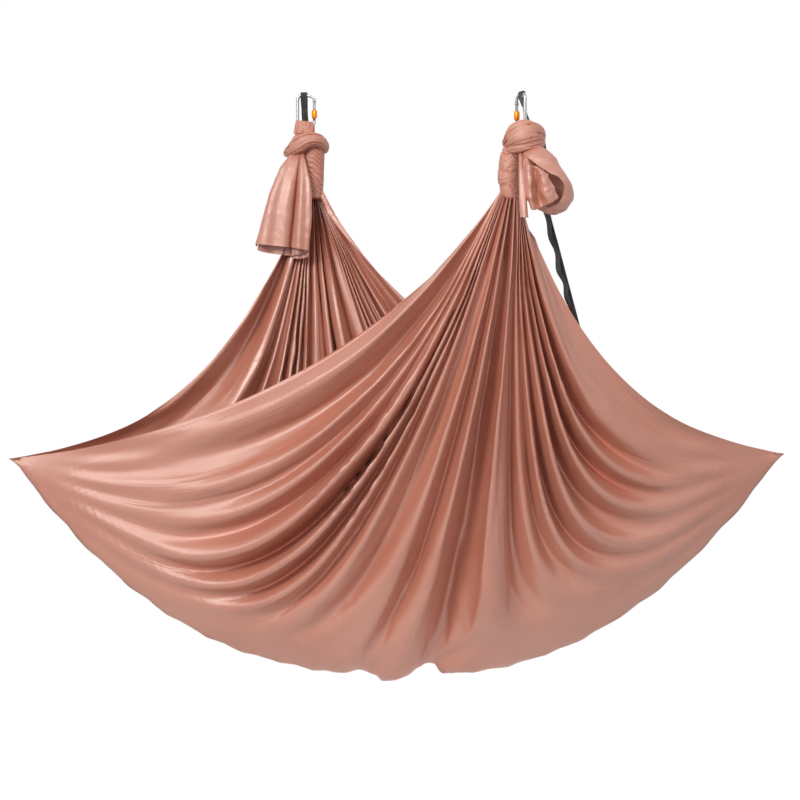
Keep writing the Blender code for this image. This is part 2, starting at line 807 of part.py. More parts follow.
def middle_row(u):
    """Where along the cut length the middle line lies: the knots are tied a little askew."""
    return 0.44 + 0.16 * u


def fan(side, u, s, neck):
    """Half of the sheet without folds: from its neck, s = 0, down to the middle line, s = 1."""
    angle = SIDES[side]["outward"] * (np.pi / 2 + SHEET_RING_SPAN * (0.5 - u))
    ring = SHEET_RING_RADIUS * np.stack([np.cos(angle), np.sin(angle), 0 * angle], -1)
    point = (np.array(neck) + ring) * (1 - s)[..., None] + low_edge(u) * s[..., None]
    left, right = 1 - eased(u / EDGE_REACH), 1 - eased((1 - u) / EDGE_REACH)
    sag_left, sag_right = SIDES[side]["edge_sag"]
    bow = left[..., None] * edge_bow(neck, TIP_LEFT, sag_left)
    bow = bow + right[..., None] * edge_bow(neck, TIP_RIGHT, sag_right)
    point += (4 * s * (1 - s))[..., None] * bow
    fullness = 0.6 + 0.4 * np.maximum(left, right)
    point[..., 1] = neck.y * (1 - s**POUCH_SWELL) ** fullness + ring[..., 1] * (1 - s)
    return point


def knot_share(near, u, v):
    """How far down from its own knot a point of the cut lies: 1 on the middle line."""
    middle = middle_row(u)
    return np.clip(np.where(near, (1 - v) / (1 - middle), v / middle), 0, 1)


def bare_sheet(near, u, v, necks):
    s = knot_share(near, u, v)
    return np.where(near[..., None], fan("near", u, s, necks["near"]), fan("far", u, s, necks["far"]))


def fold_line(near, u, v):
    """Numbers the pull lines, which leave the knots side by side and run in to the two tips."""
    s = knot_share(near, u, v)
    middle = middle_row(u)
    down = (1 - s) * np.where(near, 1 - middle, middle) * CUT_LONG + TIP_SPREAD

    def swing(x):
        reach = x * CUT_WIDE
        return (reach / (reach + down)) / (CUT_WIDE / (CUT_WIDE + down))

    rest = 0.5 - TIP_SHARE
    low = TIP_SHARE * (swing(u) + 1 - swing(1 - u)) + rest * u + rest * eased((u - 0.26) / 0.34)
    return u + (low - u) * s**1.5


def uneven(count):
    """Moves each fold a little off its even place."""
    wide = 0.017 * np.sin(2 * np.pi * (2.3 * count + 0.3))
    return count + wide + 0.008 * np.sin(2 * np.pi * (5.7 * count + 0.1))


def slopes(of, near, u, v, step=2e-3):
    """How fast a value changes per metre across and along the cut, on the point's own half."""
    ua, ub = np.clip(u - step, 0, 1), np.clip(u + step, 0, 1)
    va = np.where(near, np.minimum(v, 1 - step), np.maximum(v - step, 0))
    across = of(near, ub, v) - of(near, ua, v)
    along = of(near, u, va + step) - of(near, u, va)
    wide, long = (ub - ua) * CUT_WIDE * CUT_GIVE, step * CUT_LONG
    return (across / wide[..., None], along / long) if across.ndim > 2 else (across / wide, along / long)


def unit(vectors):
    return vectors / np.maximum(np.linalg.norm(vectors, axis=-1, keepdims=True), 1e-9)


def fold_grid():
    """Columns that follow the pull lines, four to a fold, and rows from the far knot to the near."""
    rows = np.arange(HALF_ROWS + 1) / HALF_ROWS
    rows = ROW_CROWDING * (1 - np.cos(np.pi * rows)) / 2 + (1 - ROW_CROWDING) * rows
    shares = np.concatenate([rows, rows[-2::-1]])
    places = np.linspace(0, 1, 401)
    lines = np.arange(FOLDS * FOLD_COLUMNS + 1) / (FOLDS * FOLD_COLUMNS)
    across, along, half = [], [], []
    for k, share in enumerate(shares):
        near = np.full(places.shape, k > HALF_ROWS)
        middle = middle_row(places)
        numbers = uneven(fold_line(near, places, np.where(near, 1 - share * (1 - middle), share * middle)))
        numbers = (numbers - numbers[0]) / (numbers[-1] - numbers[0])
        u = np.interp(lines, numbers, places)
        middle = middle_row(u)
        across.append(u)
        along.append(np.where(k > HALF_ROWS, 1 - share * (1 - middle), share * middle))
        half.append(np.full(u.shape, k > HALF_ROWS))
    return np.array(half), np.array(across), np.array(along)


def sheet_points(necks):
    """The sheet with its main folds, each as deep as the spare cloth between two pull lines allows."""
    near, u, v = fold_grid()
    s = knot_share(near, u, v)
    point = bare_sheet(near, u, v, necks)
    by_x, by_y = slopes(lambda *at: bare_sheet(*at, necks), near, u, v)
    line_x, line_y = slopes(fold_line, near, u, v)
    steep = np.sqrt(line_x**2 + line_y**2)
    taken = np.linalg.norm(by_x * (line_x / steep)[..., None] + by_y * (line_y / steep)[..., None], axis=-1)
    normal = unit(np.cross(by_x, by_y))
    normal[1:-1] = unit(normal[:-2] + 2 * normal[1:-1] + normal[2:])
    apart = 1 / (FOLDS * steep)
    deep = 0.25 * apart * np.sqrt(np.clip(1 - np.clip(taken, 0, 1) ** 2, 0.002, 1))
    room = (taken * apart) ** 2 / (4 * np.pi**2 * FOLD_BEND)
    deep = np.clip(np.minimum(deep, room), FOLD_DEEP_LEAST, FOLD_DEEP_MOST)
    deep *= 1 + 0.32 * np.sin(2 * np.pi * (3.7 * fold_line(near, u, v) + 0.2)) * eased(s * 4)
    deep *= 1 - 0.35 * eased((s - 0.7) / 0.3)
    wave = np.cos(2 * np.pi * np.arange(u.shape[1]) / FOLD_COLUMNS)
    return point + normal * (deep * wave)[..., None]


def build_sheet(necks, finishes):
    points = sheet_points(necks)
    for row, side in ((0, "far"), (-1, "near")):
        points[row, :, 2] = necks[side].z - SEAT_GAP - RIM_TILT
    bm = bmesh.new()
    grid = [[bm.verts.new(point) for point in row] for row in points]
    for a, b in zip(grid, grid[1:]):
        for k in range(len(a) - 1):
            bm.faces.new((a[k], a[k + 1], b[k + 1], b[k]))
    mesh = mesh_from("hammock_sheet", bm)
    sheet = place("hammock_sheet", mesh, finishes["fabric"])
    wall = sheet.modifiers.new("thickness", "SOLIDIFY")
    wall.thickness = SHEET_THICK
    wall.offset = 0.0
    wall.use_even_offset = False
    return sheet


def main():
    for piece in list(bpy.data.objects):
        bpy.data.objects.remove(piece)
    finishes = {
        "steel": finish("polished_steel", (0.62, 0.63, 0.64), 0.22, 1.0),
        "orange": finish("orange_anodised", (0.80, 0.22, 0.02), 0.35, 0.6),
        "webbing": finish("black_webbing", (0.02, 0.022, 0.024), 0.75),
        "thread": finish("grey_thread", (0.10, 0.11, 0.11), 0.8),
        "fabric": finish("rose_nylon_tricot", (0.57, 0.25, 0.18), 0.42),
    }
    knot_lows, necks = {}, {}
    for side, values in SIDES.items():
        frame = build_carabiner(side, values, finishes)
        build_daisy_chain(side, values, finishes)
        foot_z = build_bundle(side, values, frame, finishes)
        knot_lows[side] = build_knot(side, values, foot_z - SEAT_GAP, finishes)
        necks[side] = build_neck(side, values, knot_lows[side] - SEAT_GAP, finishes)
    build_tails(knot_lows, finishes)
    build_sheet(necks, finishes)


main()
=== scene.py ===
"""Aerial yoga hammock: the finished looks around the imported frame.

Metres, +Z up, +X from the left tip to the right tip, +Y away from the viewer.
"""

import math

import bmesh
import bpy
import numpy as np
from mathutils import Matrix, Vector, noise


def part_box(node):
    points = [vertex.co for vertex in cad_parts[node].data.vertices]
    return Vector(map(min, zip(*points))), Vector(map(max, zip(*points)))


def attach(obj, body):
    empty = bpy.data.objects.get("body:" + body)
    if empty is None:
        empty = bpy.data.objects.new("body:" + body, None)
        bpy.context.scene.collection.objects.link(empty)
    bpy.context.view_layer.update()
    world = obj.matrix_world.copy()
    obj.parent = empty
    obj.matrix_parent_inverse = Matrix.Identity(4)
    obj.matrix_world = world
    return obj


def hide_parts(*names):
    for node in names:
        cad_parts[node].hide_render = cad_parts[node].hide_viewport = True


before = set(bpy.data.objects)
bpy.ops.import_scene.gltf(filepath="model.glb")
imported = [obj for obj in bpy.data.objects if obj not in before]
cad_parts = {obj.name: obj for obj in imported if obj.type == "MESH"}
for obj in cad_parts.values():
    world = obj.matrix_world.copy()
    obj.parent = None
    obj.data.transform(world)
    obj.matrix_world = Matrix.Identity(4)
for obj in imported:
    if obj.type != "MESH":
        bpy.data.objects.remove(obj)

for leftover in ("Cube", "Light", "Camera"):
    if leftover in bpy.data.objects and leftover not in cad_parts:
        bpy.data.objects.remove(bpy.data.objects[leftover])

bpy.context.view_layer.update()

# Kinds of shader socket, for the shared effects
VECTOR = "NodeSocketVector"
NUMBER = "NodeSocketFloat"

# The viewer: a level camera, 9 m away
EYE = Vector((-0.029, -9.0, -0.890))
PIXEL = 0.00295
PICTURE = 800
FILM = 36.0

# The far half hangs behind the middle plane and the near half before it
SIDE_WAY = {"far": 1, "near": -1}

# Carabiners: their middle, how they are turned, and their bar
CENTRE = {"far": Vector((-0.3155, 0.300, -0.0105)), "near": Vector((0.3160, -0.300, -0.0680))}
TURN = {"far": math.radians(-8), "near": math.radians(115)}
BAR_RADIUS = 0.005
BAR_TOP = 0.0512

# Straps: the webbing, the pockets of its second layer, the bar tacks between these, and the
# sewn eye over the carabiner's upper bar
WEB_WIDE = 0.020
WEB_THICK = 0.0024
WEB_GAP = 0.0004
WEB_STEP = 0.003
HANG_STEP = 0.004
POCKET_WIDE = 0.94 * WEB_WIDE
POCKET_THICK = 0.0018
POCKET_GAP = 0.0003
POCKET_LEAN = 0.10
POCKET_PITCH = 0.095
POCKET_STAND = 0.014
POCKET_START = 0.14
TACK_LONG = 0.005
TACK_WIDE = 0.9 * WEB_WIDE
TACK_THICK = 0.0009
TACK_STITCHES = 17
EYE_DROP = 0.036
EYE_OPEN = 0.0085
EYE_X = -0.006

# Where the webbing leaves its sewn eye (y, z), how far its face turns about its length and over
# what share of the hanging end, and the points that it hangs through
WEB_LEAVES = ((0.0125, -0.010), (0.0270, -0.036), (0.0330, -0.046))
WEB_FACE_TURN = {"far": math.radians(0), "near": math.radians(42)}
WEB_TURNS_OVER = 0.35
WEB_HANG = {
    "far": (
        (-0.315, 0.362, -0.12), (-0.313, 0.37, -0.24), (-0.31, 0.376, -0.36), (-0.308, 0.378, -0.48),
        (-0.307, 0.378, -0.6), (-0.307, 0.378, -0.72),
    ),
    "near": (
        (0.375, -0.252, -0.12), (0.384, -0.235, -0.16), (0.386, -0.231, -0.2), (0.388, -0.229, -0.26),
        (0.393, -0.227, -0.342), (0.425, -0.22, -0.465), (0.459, -0.205, -0.59), (0.481, -0.192, -0.67),
        (0.498, -0.182, -0.735),
    ),
}

# The sheet's outline: its two necks, how far its top edges sag to the left and the right tip, the
# tips, the lowest point, how square the low edge is, and the share of the width that follows a
# top edge
NECK = {"far": np.array((-0.2927, 0.300, -0.2450)), "near": np.array((0.2876, -0.300, -0.2853))}
EDGE_SAG = {"far": (0.190, 0.205), "near": (0.175, 0.180)}
TIP_LEFT = np.array((-1.185, 0.0, -1.061))
TIP_RIGHT = np.array((1.107, 0.0, -1.046))
LOW_Z = -1.722
EDGE_POWER = 2.45
EDGE_REACH = 0.42
NECK_RADIUS = 0.027
NECK_SPAN = math.radians(250)

# The cut: its size, how much the knit gives, where along it the middle line lies at the left tip
# and how much further at the right one, how much the width crowds to the tips, the share of the
# pull lines that runs in to a tip, and how many points are held on each side of it
CUT_WIDE = 2.80
CUT_LONG = 3.00
GIVE = 1.035
MIDDLE_LEFT = 0.44
MIDDLE_ASKEW = 0.16
TIP_CROWDING = 0.12
TIP_SHARE = 0.38
TIP_GRIP = 3

# Folds: how many, their deepest at a neck and what they gain below it in metres, their steepest,
# and their unevenness and sideways drift as waves (height, rate, shift)
FOLDS = 17
FOLD_AT_NECK = 0.012
FOLD_GROWTH = 0.06
FOLD_STEEP = 0.70
FOLD_STEEP_AT_NECK = 0.6
FOLD_UNEVEN = ((0.36, 3.7, 0.2), (0.26, 6.3, 0.6))
FOLD_DRIFT = ((0.020, 2.3, 0.3), (0.009, 5.7, 0.1))

# The bunch of folds that reaches the low edge, as shares of the width, how much the others calm
# down there, how much of its own folds the bunch keeps, and how far above the edge this starts
BUNCH_START = 0.26
BUNCH_END = 0.66
LOW_CALM = 0.90
BUNCH_KEEPS = 0.24
CALM_LEAN = 0.24

# After it has hung: the folds carried into the tips, how high a crest must be to be sharpened in
# full and by how much, the wrinkles' height and how often they and their patches come across
# and along, and the depth at which a fold has its full painted shade
TIP_FOLD_DEEP = 0.11
CREST_HIGH = 0.020
CREST_GAIN = 0.30
WRINKLE_DEEP = 0.0050
WRINKLE_RATES = (38.0, 2.4)
PATCH_RATES = (9.0, 2.0)
FOLD_SHADE = 0.035

# How the cloth hangs, and how finely it is laid out before and after
CLOTH_HANG = {
    "quality": 5,
    "mass": 0.05,
    "air_damping": 2.0,
    "tension_stiffness": 25,
    "compression_stiffness": 12,
    "shear_stiffness": 5,
    "bending_stiffness": 0.05,
    "tension_damping": 8,
    "compression_damping": 8,
    "shear_damping": 5,
    "bending_damping": 0.5,
}
SIM_COLUMNS = 160
SIM_ROWS = 130
SIM_FRAMES = 26
CLOTH_COLUMNS = 246
CLOTH_ROWS = 194
CLOTH_THICK = 0.0008

# Turns of gathered cloth in the knots: stations (picture x, picture y, depth, width, thickness),
# round a middle (picture x, picture y, depth), then how many pleats and how deep
TURNS = {
    "far_hitch_turn": (
        (306, 145, 0.3),
        (
            (287, 153.5, 0.3, 0.022, 0.022), (292, 149.5, 0.27, 0.036, 0.03),
            (299.5, 144, 0.256, 0.052, 0.038), (308.5, 139.8, 0.252, 0.046, 0.04),
            (318, 140.5, 0.262, 0.04, 0.038), (324.5, 147, 0.294, 0.032, 0.03),
            (321, 148, 0.319, 0.038, 0.026), (311, 146.5, 0.328, 0.042, 0.024),
            (298, 148, 0.326, 0.04, 0.026), (290, 151, 0.318, 0.034, 0.024),
        ),
        5,
        0.0075,
    ),
    "near_hitch_turn": (
        (524, 136, -0.3),
        (
            (507, 143.5, -0.306, 0.026, 0.024), (510.5, 139.5, -0.332, 0.046, 0.032),
            (517, 134.5, -0.346, 0.068, 0.04), (526, 132, -0.35, 0.072, 0.042),
            (535, 132.5, -0.338, 0.056, 0.038), (540.5, 136, -0.308, 0.042, 0.03),
            (534, 142.5, -0.272, 0.032, 0.024), (525, 142, -0.262, 0.036, 0.026),
            (514, 142, -0.264, 0.04, 0.026), (507.5, 143.5, -0.284, 0.036, 0.026),
        ),
        5,
        0.0085,
    ),
    "near_crossing_turn": (
        (522, 144, -0.3),
        (
            (509, 150, -0.322, 0.02, 0.02), (518, 148, -0.342, 0.026, 0.026),
            (528, 145.5, -0.348, 0.028, 0.028), (537.5, 143.5, -0.334, 0.028, 0.026),
            (541.5, 142, -0.304, 0.028, 0.022), (535, 145, -0.266, 0.03, 0.022),
            (522, 148.5, -0.256, 0.03, 0.022), (511, 151, -0.286, 0.024, 0.02),
        ),
        4,
        0.005,
    ),
}

# Wrapped necks: stations (picture x of the middle, picture y, half width, half depth), then the
# folds that climb round them: how many down the neck, depth, how many round it, unevenness
NECKS = {
    "far": (
        (
            (313.5, 141, 0.02, 0.022), (313.5, 145, 0.03, 0.032), (313.5, 152, 0.0335, 0.036),
            (313.5, 160, 0.0335, 0.036), (313.6, 169, 0.0325, 0.035), (314, 178, 0.0305, 0.033),
            (314.3, 187, 0.028, 0.031), (314, 194, 0.027, 0.029), (313.6, 198, 0.0255, 0.027),
            (313.6, 199.5, 0.02, 0.021),
        ),
        (11, 0.0046, 11, 0.5),
    ),
    "near": (
        (
            (514, 143, 0.016, 0.018), (512, 148, 0.026, 0.03), (510.6, 155, 0.03, 0.033),
            (509.4, 164, 0.0305, 0.034), (508.7, 173, 0.0315, 0.034), (508.6, 181, 0.031, 0.033),
            (509.5, 188, 0.029, 0.031), (510.4, 194, 0.0275, 0.029), (511, 197.5, 0.0255, 0.027),
            (511, 199, 0.02, 0.021),
        ),
        (3, 0.0055, 1, 0.16),
    ),
}

# The collar of cloth that stands round the far carabiner's lower bar: stations (picture x of
# the middle, picture y, half width, half depth), how much lower its gate side is, and how deep
# its pleats, the frill at its foot and the waves of its edge are
COLLAR = (
    (304.6, 134.5, 0.029, 0.022), (304.4, 131, 0.0315, 0.024), (304.6, 127, 0.0308, 0.0225),
    (304.9, 123.5, 0.03, 0.019), (305, 121, 0.0292, 0.015), (305, 120.4, 0.0262, 0.011),
)
COLLAR_SLOPE = 0.0050
COLLAR_PLEAT = 0.0046
COLLAR_FRILL = 0.0022
COLLAR_WAVE = 0.003

# The cloth over a carabiner's lower bar: half its span, its width, its feet's width and its
# thickness, then its top, its feet and its middle from the carabiner's own
BUNDLE = (0.017, 0.022, 0.058, 0.014)
BUNDLE_TOP = -BAR_TOP + BAR_RADIUS + 0.009
BUNDLE_FOOT = -0.0676
BUNDLE_X = -0.007

# The cloth inside a knot, as shares of the whole knot's width, depth and height
FILLING_SHARE = (0.80, 0.76, 0.98)

# How many points go round each gathered form, and how lumpy it is between its creases
TURN_SIDES = 56
NECK_SIDES = 96
BUNDLE_SIDES = 96
COLLAR_SIDES = 120
FILLING_SIDES = 40
TURN_LUMP = 0.0014
NECK_LUMP = 0.05

# The far tail's two sides in the picture (picture y, left, pleat, right, depth)
FAR_TAIL_SIDES = (
    (149, 293, 300.5, 302, 0.275), (155, 289.5, 300.3, 304, 0.264), (160, 285.5, 299.6, 305, 0.256),
    (167, 280.5, 298.5, 307, 0.248), (180, 274.5, 297, 310, 0.241), (193, 269.2, 295.8, 311.6, 0.238),
    (216, 263, 293.4, 312, 0.236), (244, 255.5, 290.6, 309.4, 0.235), (262, 252, 288.8, 308, 0.235),
)
# Its section where it hangs: place across the two panels (0 to 1 and 1 to 2), depth off the
# middle in millimetres, and the picture y of the hem
FAR_TAIL_SECTION = (
    (0.06, 12, 247), (0, 4, 244.5), (0.1, -7, 244.2), (0.5, -12, 245.5), (0.9, -9, 247), (1, 9, 247.2),
    (1.05, -5, 247), (1.22, -13, 247.8), (1.6, -16, 249.2), (1.92, -9, 250.2), (2, 1, 250.8),
    (1.88, 7, 252.2), (1.4, 8, 254.5), (1.12, 11, 256.5), (1.2, 16, 258.2), (1.6, 17, 258.6),
    (1.96, 14, 257), (1.94, 21, 256), (1.3, 25, 256.4), (0.7, 25, 254.6), (0.24, 21, 252),
    (0.08, 15, 250),
)
FAR_TAIL_CUT = (0.46, 0.31)

# The near knot's ends: a rolled one (picture x, picture y, depth, radius), the loop of the bow by
# its mouth, its outer fold and the wall behind, and the flap before it by rows of points
NEAR_ROLL = (
    (520.5, 151, -0.332, 0.007), (521.3, 160, -0.348, 0.0098), (522, 172, -0.366, 0.0112),
    (522.6, 190, -0.378, 0.0116), (523.2, 204, -0.388, 0.0122), (524, 217.5, -0.398, 0.0124),
)
NEAR_ROLL_TURNS = 2.4
NEAR_ROLL_PITCH = 0.0032
NEAR_ROLL_RADIUS = 0.0116
NEAR_ROLL_CUT = (0.115, 0.195)
NEAR_LOOP = (
    ((525, 155, -0.352), (523, 149.5, -0.334), (525, 158, -0.322)),
    ((537, 165, -0.384), (541, 146.5, -0.348), (535, 166, -0.322)),
    ((549, 173, -0.392), (556, 158.5, -0.352), (541, 176, -0.32)),
    ((559, 178, -0.388), (568, 179.5, -0.35), (545, 185, -0.318)),
    ((564, 187, -0.382), (574, 193, -0.346), (546, 191, -0.317)),
    ((562, 197, -0.378), (569.5, 205.5, -0.342), (545, 196, -0.316)),
    ((556, 204, -0.376), (560, 213.5, -0.34), (543, 200, -0.316)),
    ((548, 207, -0.372), (549, 213, -0.338), (539, 201, -0.316)),
    ((538, 203, -0.366), (538, 208, -0.334), (534, 197, -0.315)),
)
NEAR_LOOP_SWELL = 0.008
NEAR_LOOP_CUT = (0.115, 0.300)
NEAR_FLAP = (
    ((523, 153, -0.345), (526, 155, -0.356), (530, 159, -0.358), (534, 163, -0.354), (538, 167, -0.348)),
    ((524, 166, -0.372), (529, 166, -0.392), (534, 169, -0.378), (540, 171, -0.396), (546, 173, -0.388)),
    ((525, 180, -0.38), (530, 179, -0.402), (536, 183, -0.376), (543, 181, -0.404), (551, 182, -0.392)),
    ((525, 193, -0.384), (531, 196, -0.406), (537, 194, -0.376), (546, 193, -0.404), (555, 190, -0.39)),
    ((530, 203, -0.384), (533, 210, -0.398), (541, 207, -0.38), (550, 203, -0.398), (558, 198, -0.386)),
)
NEAR_FLAP_CUT = (0.100, 0.165)
TAIL_THICK = 0.0010

# How the loose ends are crumpled (height, scale, seed), how deep the far one's soft folds are, and
# how deep a crease of each has its full painted shade
FAR_TAIL_CRUMPLE = (0.0020, 26.0, 2.0)
NEAR_LOOP_CRUMPLE = (0.0060, 24.0, 7.0)
NEAR_FLAP_CRUMPLE = (0.0085, 26.0, 13.0)
FAR_TAIL_FOLD = 0.0032
TAIL_SHADE = 0.012
NEAR_ROLL_SHADE = 0.004
NEAR_FLAP_SHADE = 0.008

# How much of the folds' painted shade the creases of gathered cloth take
CREASE_SHADE_SHARE = 0.42

# Colours of the cloth, the painted shade of its folds, its marks, the dust on the straps, the room and
# the floor
ROSE = (0.500, 0.195, 0.130, 1)
ROSE_DARK = (0.455, 0.160, 0.100, 1)
PAINTED_FOLD_SHADE_RED = (0.800, 0.125, 0.026, 1)
CREASE_PALE = (0.74, 0.46, 0.38, 1)
DUST = (0.045, 0.05, 0.05, 1)
ROOM_LIGHT = (1.0, 0.985, 0.97, 1)
FLOOR_GREY = (0.86, 0.86, 0.86, 1)

# The floor, and soft lights: name, place, what it points at, size, power and colour
FLOOR_RADIUS = 1.5
FLOOR_Z = -2.36
WINDOWS = (
    ("key_window", (-2.9, -5.2, 2.2), (0.0, 0.0, -0.9), 1.7, 245.0, (1.0, 0.985, 0.96)),
    ("fill_window", (1.8, -4.6, 3.2), (-0.1, 0.1, -0.6), 2.4, 60.0, (0.96, 0.98, 1.0)),
    ("back_window", (0.6, 4.6, 1.8), (0.0, 0.0, -0.8), 2.4, 110.0, (1.0, 1.0, 1.0)),
)


# Shader helpers


def feed(tree, socket, value):
    """Links an output to the socket, or sets a plain value on it."""
    if isinstance(value, bpy.types.NodeSocket):
        tree.links.new(value, socket)
    else:
        socket.default_value = value


def add(tree, kind, inputs=None, **settings):
    """A node with its settings, its input sockets fed by name or number."""
    node = tree.nodes.new(kind)
    for name, value in settings.items():
        setattr(node, name, value)
    for socket, value in (inputs or {}).items():
        feed(tree, node.inputs[socket], value)
    return node


def new_material(name, **plain):
    """A material with its Principled shader, and plain values set on the shader's sockets."""
    material = bpy.data.materials.new(name)
    material.use_nodes = True
    shader = material.node_tree.nodes["Principled BSDF"]
    for socket, value in plain.items():
        shader.inputs[socket.replace("_", " ")].default_value = value
    return material, material.node_tree, shader


def mix_colour(tree, share, first, second):
    """The first colour turning into the second as the share goes from 0 to 1."""
    return add(tree, "ShaderNodeMix", {0: share, 6: first, 7: second}, data_type="RGBA").outputs[2]


def maths(tree, operation, *values, clamp=False):
    inputs = dict(enumerate(values))
    return add(tree, "ShaderNodeMath", inputs, operation=operation, use_clamp=clamp).outputs[0]


def times(tree, first, second):
    return maths(tree, "MULTIPLY", first, second)


def plus(tree, first, second):
    return maths(tree, "ADD", first, second)


def sine(tree, value, rate):
    return maths(tree, "SINE", times(tree, value, rate))


def remap(tree, value, low, high, out_low=0.0, out_high=1.0):
    """The value eased from one range into another."""
    inputs = dict(enumerate((value, low, high, out_low, out_high)))
    return add(tree, "ShaderNodeMapRange", inputs, interpolation_type="SMOOTHSTEP").outputs[0]


def parts_of(tree, vector):
    return add(tree, "ShaderNodeSeparateXYZ", {0: vector}).outputs


def scaled(tree, vector, scale):
    return add(tree, "ShaderNodeMapping", {"Vector": vector, "Scale": scale}).outputs[0]


def noise_of(tree, vector, scale, detail=3.0, roughness=0.5):
    inputs = {"Vector": vector, "Scale": scale, "Detail": detail, "Roughness": roughness}
    return add(tree, "ShaderNodeTexNoise", inputs).outputs["Fac"]


def object_place(tree):
    return add(tree, "ShaderNodeTexCoord").outputs["Object"]


def uv_map(tree, name):
    return add(tree, "ShaderNodeUVMap", uv_map=name).outputs[0]


def attribute(tree, name, output="Fac"):
    return add(tree, "ShaderNodeAttribute", attribute_name=name).outputs[output]


def bumps_into(tree, shader, *reliefs):
    """Bumps laid one over another, each (height, strength, distance in metres)."""
    normal = None
    for height, strength, distance in reliefs:
        inputs = {"Strength": strength, "Distance": distance, "Height": height}
        if normal is not None:
            inputs["Normal"] = normal
        normal = add(tree, "ShaderNodeBump", inputs).outputs[0]
    feed(tree, shader.inputs["Normal"], normal)


def group(name, inputs, outputs):
    """An empty shader group with named sockets: (name, kind, default)."""
    tree = bpy.data.node_groups.new(name, "ShaderNodeTree")
    for label, kind, default in inputs:
        socket = tree.interface.new_socket(label, in_out="INPUT", socket_type=kind)
        if default is not None:
            socket.default_value = default
    for label in outputs:
        tree.interface.new_socket(label, in_out="OUTPUT", socket_type=NUMBER)
    return tree, add(tree, "NodeGroupInput").outputs, add(tree, "NodeGroupOutput").inputs


def place_group(tree, node_group, **values):
    """A shared effect placed in a finish with its own values, for its outputs."""
    inputs = {label.replace("_", " "): value for label, value in values.items()}
    return add(tree, "ShaderNodeGroup", inputs, node_tree=node_group).outputs


# Effects that several finishes share


def knit_group():
    """Warp-knit tricot: fine wales along the cloth with short cross loops. UV is in metres."""
    tree, given, out = group(
        "tricot_knit", [("Cloth UV", VECTOR, None), ("Wales per metre", NUMBER, 1400.0)], ["Height"]
    )
    place = parts_of(tree, given["Cloth UV"])
    pitch = times(tree, given["Wales per metre"], 2 * math.pi)
    course = sine(tree, place[1], times(tree, pitch, 0.8))
    feed(tree, out["Height"], plus(tree, sine(tree, place[0], pitch), times(tree, course, 0.5)))
    return tree


def crease_group():
    """Sharp little fold marks left by packing: thin crossing lines in patches."""
    tree, given, out = group(
        "pressed_creases", [("Vector", VECTOR, None), ("Scale", NUMBER, 9.0)], ["Line"]
    )
    stretched = scaled(tree, given["Vector"], (1.0, 1.0, 1.7))
    wobble = add(tree, "ShaderNodeTexNoise", {"Vector": stretched, "Scale": 5.0}).outputs["Color"]
    inputs = {0: wobble, 1: (0.12, 0.12, 0.12), 2: stretched}
    bent = add(tree, "ShaderNodeVectorMath", inputs, operation="MULTIPLY_ADD").outputs[0]
    inputs = {"Vector": bent, "Scale": given["Scale"]}
    cells = add(tree, "ShaderNodeTexVoronoi", inputs, feature="DISTANCE_TO_EDGE")
    line = remap(tree, cells.outputs["Distance"], 0.0, 0.022, 1.0, 0.0)
    patch = remap(tree, noise_of(tree, given["Vector"], 4.0, 2.0), 0.50, 0.66)
    broken = remap(tree, noise_of(tree, given["Vector"], 17.0, 1.0), 0.50, 0.60)
    feed(tree, out["Line"], times(tree, line, times(tree, patch, broken)))
    return tree


def pull_group():
    """Fine wrinkles along the pull lines. Pull is (line number, share of the way down, strength)."""
    tree, given, out = group(
        "pull_wrinkles", [("Pull", VECTOR, None), ("Lines", NUMBER, 60.0)], ["Height"]
    )
    pull = parts_of(tree, given["Pull"])
    inputs = {0: times(tree, pull[0], given["Lines"]), 1: times(tree, pull[1], 2.2)}
    spot = add(tree, "ShaderNodeCombineXYZ", inputs).outputs[0]
    wave = noise_of(tree, spot, 1.0, 2.0, 0.55)
    off = maths(tree, "ABSOLUTE", maths(tree, "SUBTRACT", wave, 0.5))
    crest = maths(tree, "SUBTRACT", 1.0, times(tree, off, 3.2), clamp=True)
    ridge = maths(tree, "POWER", crest, 3.0)
    shown = remap(tree, noise_of(tree, scaled(tree, spot, (0.35, 0.9, 1.0)), 1.0, 1.0), 0.38, 0.62)
    feed(tree, out["Height"], times(tree, times(tree, ridge, shown), pull[2]))
    return tree


def wear_group():
    """Fine scratches and handling marks on metal."""
    tree, given, out = group(
        "handled_metal", [("Vector", VECTOR, None), ("Size", NUMBER, 1.0)], ["Scratch", "Smudge"]
    )
    inputs = {0: given["Vector"], "Scale": given["Size"]}
    grown = add(tree, "ShaderNodeVectorMath", inputs, operation="SCALE").outputs[0]
    long_way = scaled(tree, grown, (900.0, 900.0, 60.0))
    feed(tree, out["Scratch"], remap(tree, noise_of(tree, long_way, 1.0, 2.0, 0.7), 0.58, 0.66))
    feed(tree, out["Smudge"], noise_of(tree, grown, 70.0, 4.0, 0.6))
    return tree


def weave_group():
    """Ribbed webbing: slanted herringbone ribs over cross yarns. UV is in metres."""
    tree, given, out = group(
        "webbing_weave",
        [("Band UV", VECTOR, None), ("Ribs per metre", NUMBER, 900.0)],
        ["Height", "Thread"],
    )
    place = parts_of(tree, given["Band UV"])
    across = maths(tree, "ABSOLUTE", place[0])
    rate = times(tree, given["Ribs per metre"], 2 * math.pi)
    rib = sine(tree, plus(tree, place[1], times(tree, across, 1.2)), rate)
    yarn = sine(tree, place[0], times(tree, rate, 1.3))
    height = plus(tree, rib, times(tree, yarn, 0.6))
    feed(tree, out["Height"], height)
    feed(tree, out["Thread"], remap(tree, height, -1.2, 1.2))
    return tree


KNIT = knit_group()
CREASES = crease_group()
PULLS = pull_group()
WEAR = wear_group()
WEAVE = weave_group()


# Finishes


